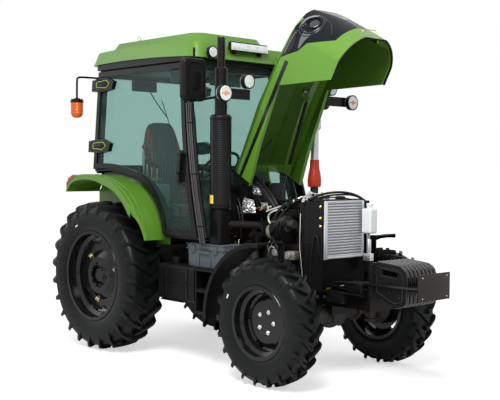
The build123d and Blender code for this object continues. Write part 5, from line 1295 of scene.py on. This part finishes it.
def crumpled(corners, rows, cols, deep):
    """A closed sheet of crinkled foil over four drawn corners."""
    a, b, c, d = (drawn(*p) for p in corners)
    out = (b - a).cross(d - a).normalized()
    bm = bmesh.new()
    sheets = []
    for back in (0, FOIL_THICK):
        random.seed(rows * cols)
        grid = {}
        for i in range(rows + 1):
            for j in range(cols + 1):
                u, v = j / cols, i / rows
                point = (a * (1 - u) + b * u) * (1 - v) + (d * (1 - u) + c * u) * v
                bulge = deep * 2.2 * math.sin(math.pi * u) * math.sin(math.pi * v)
                grid[i, j] = bm.verts.new(point + out * (random.uniform(-deep, deep) + bulge - back))
        for i in range(rows):
            for j in range(cols):
                bm.faces.new((grid[i, j], grid[i, j + 1], grid[i + 1, j + 1], grid[i + 1, j]))
        sheets.append(grid)
    front, rear = sheets
    border = ([(0, j) for j in range(cols)] + [(i, cols) for i in range(rows)]
              + [(rows, j) for j in range(cols, 0, -1)] + [(i, 0) for i in range(rows, 0, -1)])
    for here, there in zip(border, border[1:] + border[:1]):
        bm.faces.new((front[here], front[there], rear[there], rear[here]))
    return mesh_of(bm)


foils = [crumpled([(1330, -258, 1300), (1520, -258, 1310), (1490, -254, 1420), (1370, -254, 1440)], 16, 18, 0.007),
         crumpled([(1150, -256, 1230), (1270, -262, 1230), (1300, -262, 1376), (1180, -262, 1400)], 12, 12, 0.006),
         crumpled([(1450, -226, 1470), (1560, -226, 1460), (1540, -226, 1548), (1440, -226, 1552)], 12, 10, 0.006),
         crumpled([(1560, -226, 1340), (1640, -226, 1340), (1640, -226, 1400), (1560, -226, 1400)], 8, 10, 0.005)]
part("crinkled_foil", foils, FOIL).data.shade_flat()

# %% Duct, fittings, filter and castings beside the engine
duct_rib = box_mesh((1144, -262, 1446), (1204, -236, 1452))
part("ribbed_duct", [in_row(duct_rib, 18, (0, 0, 0.0115), FINISHES["grey_plastic"]),
                     soft_box((1150, -256, 1440), (1198, -240, 1660))], "grey_plastic")
UNION = ((0, -12), (9, -12), (13, -6), (13, 6), (8, 10), (8, 20), (0, 20))
part("copper_fittings", [round_part(UNION, at, "Y" if i % 2 else "X", 12)
                         for i, at in enumerate(((1500, -232, 1346), (1530, -226, 1352), (1560, -232, 1338),
                                                 (1476, -236, 1338), (1594, -222, 1346)))], COPPER)
part("bright_bits", [soft_box((1610, -246, 1340), (1672, -206, 1376), 0.006),
                     run([(1331, -330, 1189), (1410, -330, 1192), (1496, -330, 1197)], 9),
                     disc(14, 8, (1505, -332, 1197), steps=16),
                     run([(1360, -300, 1076), (1372, -310, 1030), (1350, -316, 990)], 6)], BRIGHT_ZINC)
bowl = [(0, 1176), (30, 1176), (34, 1182), (34, 1252), (28, 1258), (12, 1262), (0, 1262)]
gold = [round_part(bowl, (1240, -270, 0), "Z", 32), soft_box((1196, -300, 1150), (1284, -240, 1176)),
        soft_box((1240, -296, 1120), (1252, -250, 1150), 0.003)]
gold += [round_part([(0, -6), (9, -6), (9, 4), (5, 8), (0, 8)], (x, -300, z), "Y", 12)
         for x, z in ((1216, 1140), (1266, 1128), (1290, 1160), (1226, 1098), (1310, 1100), (1196, 1186))]
part("gold_filter", gold, GOLD_PASSIVE)
castings = [soft_box((1880, -262, 940), (1990, -180, 1010), 0.01),
            soft_box((1720, -262, 960), (1790, -190, 1020), 0.012),
            round_part([(0, -286), (26, -286), (30, -280), (30, -250), (0, -250)], (1930, 0, 976), "Y", 24),
            run([(1690, -262, 990), (1700, -266, 1030), (1740, -262, 1040), (1780, -250, 1020)], 7)]
castings += [disc(8, 4, (x, -288, z)) for x in (1896, 1976) for z in (954, 998)]
part("pump_castings", castings, "pump_casting")
part("injector_pipes", [run([(x, -250, 1010), (x + 8, -262, 1060), (x + 30, -200, 1120), (x + 30, -150, 1180)], 4)
                        for x in range(1665, 1800, 40)], "bare_steel")

# %% Clamps on the red hose, the receiver under the bottle, and the bottle's cap
part("red_hose_clamps", [band(52, 55, 6, (1552, 440, z), "Z") for z in (1538, 1556)], BRIGHT_ZINC)
part("receiver", [round_part([(0, 1000), (16, 1000), (18, 1006), (18, 1110), (14, 1116), (0, 1116)],
                             (2392, 200, 0), "Z", 24),
                  run([(2392, 200, 1114), (2396, 196, 1140), (2400, 192, 1166)], 6),
                  soft_box((2350, 176, 940), (2424, 224, 1000)),
                  run([(2340, 232, 1180), (2352, 236, 1060), (2370, 230, 960), (2390, 200, 900)],
                      6)], "bare_aluminium")
part("bottle_cap", [round_part([(0, 1386), (26, 1386), (28, 1392), (28, 1408), (22, 1412), (0, 1412)],
                               (2402, 193, 0), "Z", 30),
                    run([(2352, 150, 1300), (2353, 196, 1300), (2353, 238, 1300)], 1.6)], "white_plastic")
part("bay_brackets", [soft_box((2340, 180, 850), (2412, 236, 1000), 0.006)], "black_plastic")
print("engine bay done")

# %% [markdown]
# ## Weights, plate and front frame
# Each front weight is a casting with a rounded rib round its edge, and the gaps between them
# catch the light. A flat bar along the side carries the blank plate. The rails under the
# radiator carry brackets, bolts and small boxes.

# %% Ribs of the weights
WEIGHT_DARK = finish("weight_enamel", (0.006, 0.006, 0.0065), 0.26, vary=0.25, grain=0.2, grain_size=260,
                     specular=0.4, coat=0.3)
PLATE = finish("dull_blank_plate", (0.028, 0.024, 0.019), 0.4, vary=0.12, specular=0.2)
WEIGHT_EDGE = [(2776, 966), (2800, 985), (2960, 972), (3010, 965), (3040, 949), (3060, 930), (3072, 900),
               (3080, 860),
               (3075, 780), (3066, 690), (3040, 670), (2965, 650)]
WEIGHT_FACE = ((2800, 950), (2990, 940), (3034, 915), (3048, 860), (3038, 710), (2970, 684), (2800, 760))
WEIGHT_PANEL = ((2842, 942), (3003, 924), (2998, 870), (2842, 884))


def edge_rib(path, y, half, proud, sink=6, middle=(2900, 820)):
    """A rounded rib outside an (x, z) path round a middle point, at one y."""
    rings = []
    for (x0, z0), (x, z), (x1, z1) in zip(path[:1] + path, path, path[1:] + path[-1:]):
        dx, dz = x1 - x0, z1 - z0
        size = math.hypot(dx, dz)
        nx, nz = -dz / size, dx / size
        if nx * (x - middle[0]) + nz * (z - middle[1]) < 0:
            nx, nz = -nx, -nz
        flank = ((-1, -sink), (-1, proud * 0.2), (-0.82, proud * 0.75), (-0.4, proud))
        rings.append([drawn(x + nx * out, y + u * half, z + nz * out)
                      for u, out in flank + tuple((-u, out) for u, out in flank[::-1])])
    return skin(rings)


def both_sides(width, *rows):
    """Soft boxes on the left and the right, from rows drawn on the left."""
    made = []
    for s in SIDES.values():
        for x0, y0, z0, x1, y1, z1 in rows:
            low, high = sorted((y0 * s, y1 * s))
            made.append(soft_box((x0, low, z0), (x1, high, z1), width))
    return made


rib = edge_rib(WEIGHT_EDGE, -168, 15.5, 7)
part("weight_ribs", [in_row(rib, 8, (0, 0.048, 0), WEIGHT_DARK)], WEIGHT_DARK, "weight_black")
face_rims = []
for s in SIDES.values():
    low, high = sorted((194 * s, 216 * s))
    y = 190 * s
    face_rims += [wire_loop([drawn(x, y, z) for x, z in WEIGHT_FACE], 0.005),
                  wire_loop([drawn(x, y, z) for x, z in WEIGHT_PANEL], 0.0045),
                  skin([[drawn(x, across * share, z) for across,
                         z in ((low, 806), (high, 806), (high, 822), (low, 822))]
                        for x, share in ((2560, 1), (3000, 1), (3120, 0.94), (3176, 0.8))])]
    face_rims += [round_part([(0, y - 7), (15, y - 6), (15, y + 6), (0, y + 7)], (x, 0, z), "Y", 18)
                  for x, z in ((2830, 720), (2920, 760), (3010, 730), (2780, 900))]
part("weight_bars", face_rims, WEIGHT_DARK, "weight_black")
piece("blank_front_plate", soft_box((3186, -192, 715), (3194, 192, 919), 0.0015), PLATE)
part("plate_screws", [round_part([(0, 3193), (6, 3193), (6, 3196), (0, 3197)], (0, y, z), "X", 12)
                      for y in (-150, 150) for z in (740, 894)], BRIGHT_ZINC)

# %% Front frame and axle
AXLE = finish("axle_casting", (0.030, 0.026, 0.022), 0.5, vary=0.3, grain=0.5, grain_size=220, dust=0.15)
brackets = both_sides(0.006, *[(x0, 185, z0, x1, 208, z1) for x0, x1, z0, z1 in (
    (2350, 2460, 700, 770), (2480, 2560, 720, 800), (2580, 2690, 700, 760), (2180, 2300, 640, 700),
    (1960, 2080, 610, 690), (1760, 1880, 620, 700))])
brackets += both_sides(0.003, (2330, 185, 716, 2700, 262, 728)) + both_sides(0.01, (2350, 185, 640, 2520, 262, 716))
brackets += both_sides(0.012, (2540, 150, 728, 2690, 240, 820))
nuts, flanges = [], []
for s in SIDES.values():
    brackets += [run([(2340, 230 * s, 770), (2440, 244 * s, 806), (2560, 250 * s, 812), (2700, 220 * s, 806)], 8),
                 run([(2330, 200 * s, 742), (2450, 214 * s, 760), (2600, 236 * s, 742), (2720, 210 * s, 770)], 6)]
    for x, z in ((2366, 690), (2430, 660), (2500, 690), (2596, 730), (2670, 730), (2200, 670), (2280, 670),
                 (1980, 650), (2060, 650)):
        nuts += [disc(10, 9, (x, 208 * s, z)), disc(14, 6, (x, 208 * s, z), steps=20)]
    flanges += [disc(9, 12, (2140 + 74 * c, 302 * s, 502 + 74 * up)) for c, up in turns(8)]
    flanges.append(round_part([(50, -10), (88, -10), (92, -4), (92, 4), (88, 10), (50, 10), (50, -10)],
                              (2140, 298 * s, 502), "Y"))
flanges.append(round_part([(0, 2240), (76, 2240), (80, 2248), (72, 2262), (46, 2270), (0, 2270)], (0, 0, 490), "X",
                          36))
part("frame_brackets", brackets, "black_paint")
part("frame_nuts", nuts, "bare_steel")
part("axle_flanges", flanges, AXLE)
for name in ("front_axle", "steering_knuckle_right", "steering_knuckle_left"):
    dress(nodes[name], AXLE)
part("steering_tie", [run([(2010, -440, 500), (2008, -200, 498), (2008, 200, 498), (2010, 440, 500)], 13)],
     "black_paint")
print("front done")

# %% [markdown]
# ## Boxes, tank and steps
# The toolbox has a lipped lid, two toggle latches and a handle. The tank has two steel
# straps, a vented cap and a drain plug. The steps carry a raised tread so that a boot grips.

# %% Toolbox, tank and steps
toolbox = [soft_box((1012, -606, 1036), (1504, -374, 1044), 0.003),
           soft_box((1014, -606, 996), (1502, -374, 1003), 0.002),
           soft_box((1190, -612, 960), (1330, -604, 985), 0.003),
           run([(1200, -612, 1020), (1210, -626, 1022), (1310, -626, 1022), (1320, -612, 1020)], 5)]
for x in (1110, 1400):
    toolbox += [soft_box((x - 22, -614, 968), (x + 22, -606, 1028), 0.003),
                soft_box((x - 10, -620, 990), (x + 10, -612, 1022), 0.002)]
toolbox += boxes(0.002, *[(x - 4, -600, 860, x + 4, -590, 990) for x in (1050, 1180, 1330, 1460)])
part("toolbox_trim", toolbox, "grey_plastic")
tank = [soft_box((700, -659, 684), (1176, -655, 692), 0.0015), disc(16, 8, (940, -500, 528), "Z"),
        round_part([(44, 880), (47, 882), (47, 904), (40, 910), (0, 910), (0, 906)], (840, -560, 0), "Z", 32)]
for x in (800, 1080):
    tank += boxes(0.002, (x - 20, -661, 552, x + 20, -655, 828), (x - 20, -640, 845, x + 20, -340, 850))
    tank.append(disc(9, 6, (x, -666, 700)))
part("tank_straps", tank, "black_paint")
treads = both_sides(0.002, (1206, 649, 656, 1422, 655, 666))
for z in (474, 662, 840):
    for bump in both_sides(0.0015, (1222, 480, z, 1230, 648, z + 5)):
        treads.append(in_row(bump, 11, (0.0178, 0, 0), FINISHES["black_paint"]))
part("step_treads", treads, "black_paint")
part("case_bolts", [disc(11, 12, (x, y * s, z)) for s in SIDES.values()
                    for x, y, z in ((330, 190, 560), (420, 190, 620), (520, 180, 700), (620, 176, 560),
                                    (250, 200, 760))],
     "black_paint")


# %% Pressed creases along the rear fenders
def arc_points(a, b, c, steps):
    """Points along the circle through three (x, z) points."""
    (ax, az), (bx, bz), (cx, cz) = a, b, c
    d = 2 * (ax * (bz - cz) + bx * (cz - az) + cx * (az - bz))
    a2, b2, c2 = ax ** 2 + az ** 2, bx ** 2 + bz ** 2, cx ** 2 + cz ** 2
    ux = (a2 * (bz - cz) + b2 * (cz - az) + c2 * (az - bz)) / d
    uz = (a2 * (cx - bx) + b2 * (ax - cx) + c2 * (bx - ax)) / d
    r = math.hypot(ax - ux, az - uz)
    start, end = math.atan2(az - uz, ax - ux), math.atan2(cz - uz, cx - ux)
    angles = [start + (end - start) * k / steps for k in range(steps + 1)]
    return [(ux + r * math.cos(t), uz + r * math.sin(t)) for t in angles]


CUT_SLOPE = 0.76
RIB_END_X, RIB_END_Y, RIB_END_SLOPE = 540, -905, 0.75
crest = arc_points((700, 1050), (568, 1352), (205, 1572), 40) + arc_points((205, 1572), (-60, 1622), (-300, 1600),
                                                                           20)[1:]
creases = [run([(x, -896 + max(0, x - 556) * CUT_SLOPE, z - 3) for x, z in crest[1:]], 7, resolution=4)]
for y, half in ((-842, 15), (-790, 8)):
    last = RIB_END_X + (y - half - RIB_END_Y) / RIB_END_SLOPE
    creases.append(edge_rib([point for point in crest[1:] if point[0] < last], y, half, 4, 3, (0, 900)))
skirt = []
for x, z in [point for point in crest[::-1] if point[0] > 530]:
    y, deep = -902 + max(0, x - 558) * CUT_SLOPE, 50 - 36 * max(0, (x - 590) / 110) ** 1.2
    reach = math.hypot(x, z - 900)
    low_x, low_z = x - deep * x / reach, z - deep * (z - 900) / reach
    skirt.append([drawn(x, y, z), drawn(x, y + 8, z), drawn(low_x, y + 8, low_z), drawn(low_x, y, low_z)])
pair("fender_creases", joined(creases + [skin(skirt)]), FINISHES["green_paint"])

# %% Rolled edges of the front mudguards
GUARD_R = 0.614
GUARD_TURNS = [(math.cos(math.radians(a)), math.sin(math.radians(a))) for a in range(88, 186, 8)]
guard = [tube_mesh([FRONT_AXLE + Vector((GUARD_R * c, y, (GUARD_R - 0.003) * s)) for c, s in GUARD_TURNS], 0.008)
         for y in (-0.835, -0.558)]
guard.append(skin([[FRONT_AXLE + Vector(((GUARD_R - d) * c, y, (GUARD_R - d) * s))
                    for d, y in ((0.002, -0.842), (0.002, -0.834), (0.030, -0.836), (0.030, -0.842))]
                   for c, s in GUARD_TURNS]))
pair("mudguard_edge", joined(guard), FINISHES["black_plastic"], "knuckle_*")
print("chassis done")

# %% [markdown]
# ## The studio
# The tractor stands on a plain pale floor in soft, even light. The world is seen white by
# the camera and by shiny surfaces but lights the object at an ordinary level, and one large
# lamp above and to the right gives form. A weak lamp behind it opens the shadows.

# %% Floor, world and lights
FLOOR_LIFT = 0.56
WORLD_LEVEL = 0.54
LAMPS = {"key": ((2.6, -3.4, 5.2), 2.6, 320), "fill": ((-4.5, -3.0, 3.5), 3.0, 25)}
LAMP_TARGET = Vector((0.2, 0, 1.2))
bm = bmesh.new()
bmesh.ops.create_grid(bm, x_segments=1, y_segments=1, size=30)
floor = linked("floor", mesh_of(bm, outward=False))
pale, tree, shader = new_material("pale_floor", Base_Color=(0.90, 0.90, 0.90, 1), Roughness=0.9,
                                  Specular_IOR_Level=0.1, Emission_Color=(1, 1, 1, 1))
seen = add_node(tree, "ShaderNodeLightPath").outputs["Is Camera Ray"]
lift = add_node(tree, "ShaderNodeMapRange", {"Value": seen, "To Min": 0.0, "To Max": FLOOR_LIFT})
wire(tree, shader, {"Emission Strength": lift.outputs["Result"]})
dress(floor, pale)

world = bpy.data.worlds.new("studio_light")
bpy.context.scene.world = world
world.use_nodes = True
tree = world.node_tree
rays = add_node(tree, "ShaderNodeLightPath").outputs
seen = add_node(tree, "ShaderNodeMath", {0: rays["Is Camera Ray"], 1: rays["Is Glossy Ray"]}, operation="MAXIMUM")
seen = add_node(tree, "ShaderNodeMath", {0: seen.outputs[0], 1: rays["Is Transmission Ray"]}, operation="MAXIMUM")
level = add_node(tree, "ShaderNodeMapRange", {"Value": seen.outputs[0], "To Min": WORLD_LEVEL, "To Max": 1.0})
wire(tree, tree.nodes["Background"], {"Color": (1, 1, 1, 1), "Strength": level.outputs["Result"]})
for name, (place, size, power) in LAMPS.items():
    light = bpy.data.lights.new(name, "AREA")
    light.size = size
    light.energy = power
    holder = linked(name, light)
    holder.location = place
    holder.rotation_euler = (LAMP_TARGET - Vector(place)).to_track_quat("-Z", "Y").to_euler()

# %% [markdown]
# The camera's place and direction come from the wheels' outlines, and it leans by a third
# of a degree. Its matrix is built from three directions: right, up and backwards.

# %% Camera
CAMERA_PLACE = Vector((6.2263, -5.768, 1.7021))
CAMERA_AHEAD = Vector((-0.7306, 0.6820, -0.0351)).normalized()
CAMERA_ROLL = math.radians(0.35)
level_right = CAMERA_AHEAD.cross(Vector((0, 0, 1))).normalized()
right = level_right * math.cos(CAMERA_ROLL) + level_right.cross(CAMERA_AHEAD) * math.sin(CAMERA_ROLL)
axes = Matrix((right, right.cross(CAMERA_AHEAD), -CAMERA_AHEAD)).transposed().to_4x4()
lens = bpy.data.cameras.new("camera")
lens.lens = 67.85
lens.sensor_width = 36
camera = linked("camera", lens)
camera.matrix_world = Matrix.Translation(CAMERA_PLACE) @ axes
bpy.context.scene.camera = camera
bpy.context.scene.view_settings.view_transform = "Standard"

# %% [markdown]
# ## The last lines
# The view layer is brought up to date.

# %% Bring the scene up to date
bpy.context.view_layer.update()
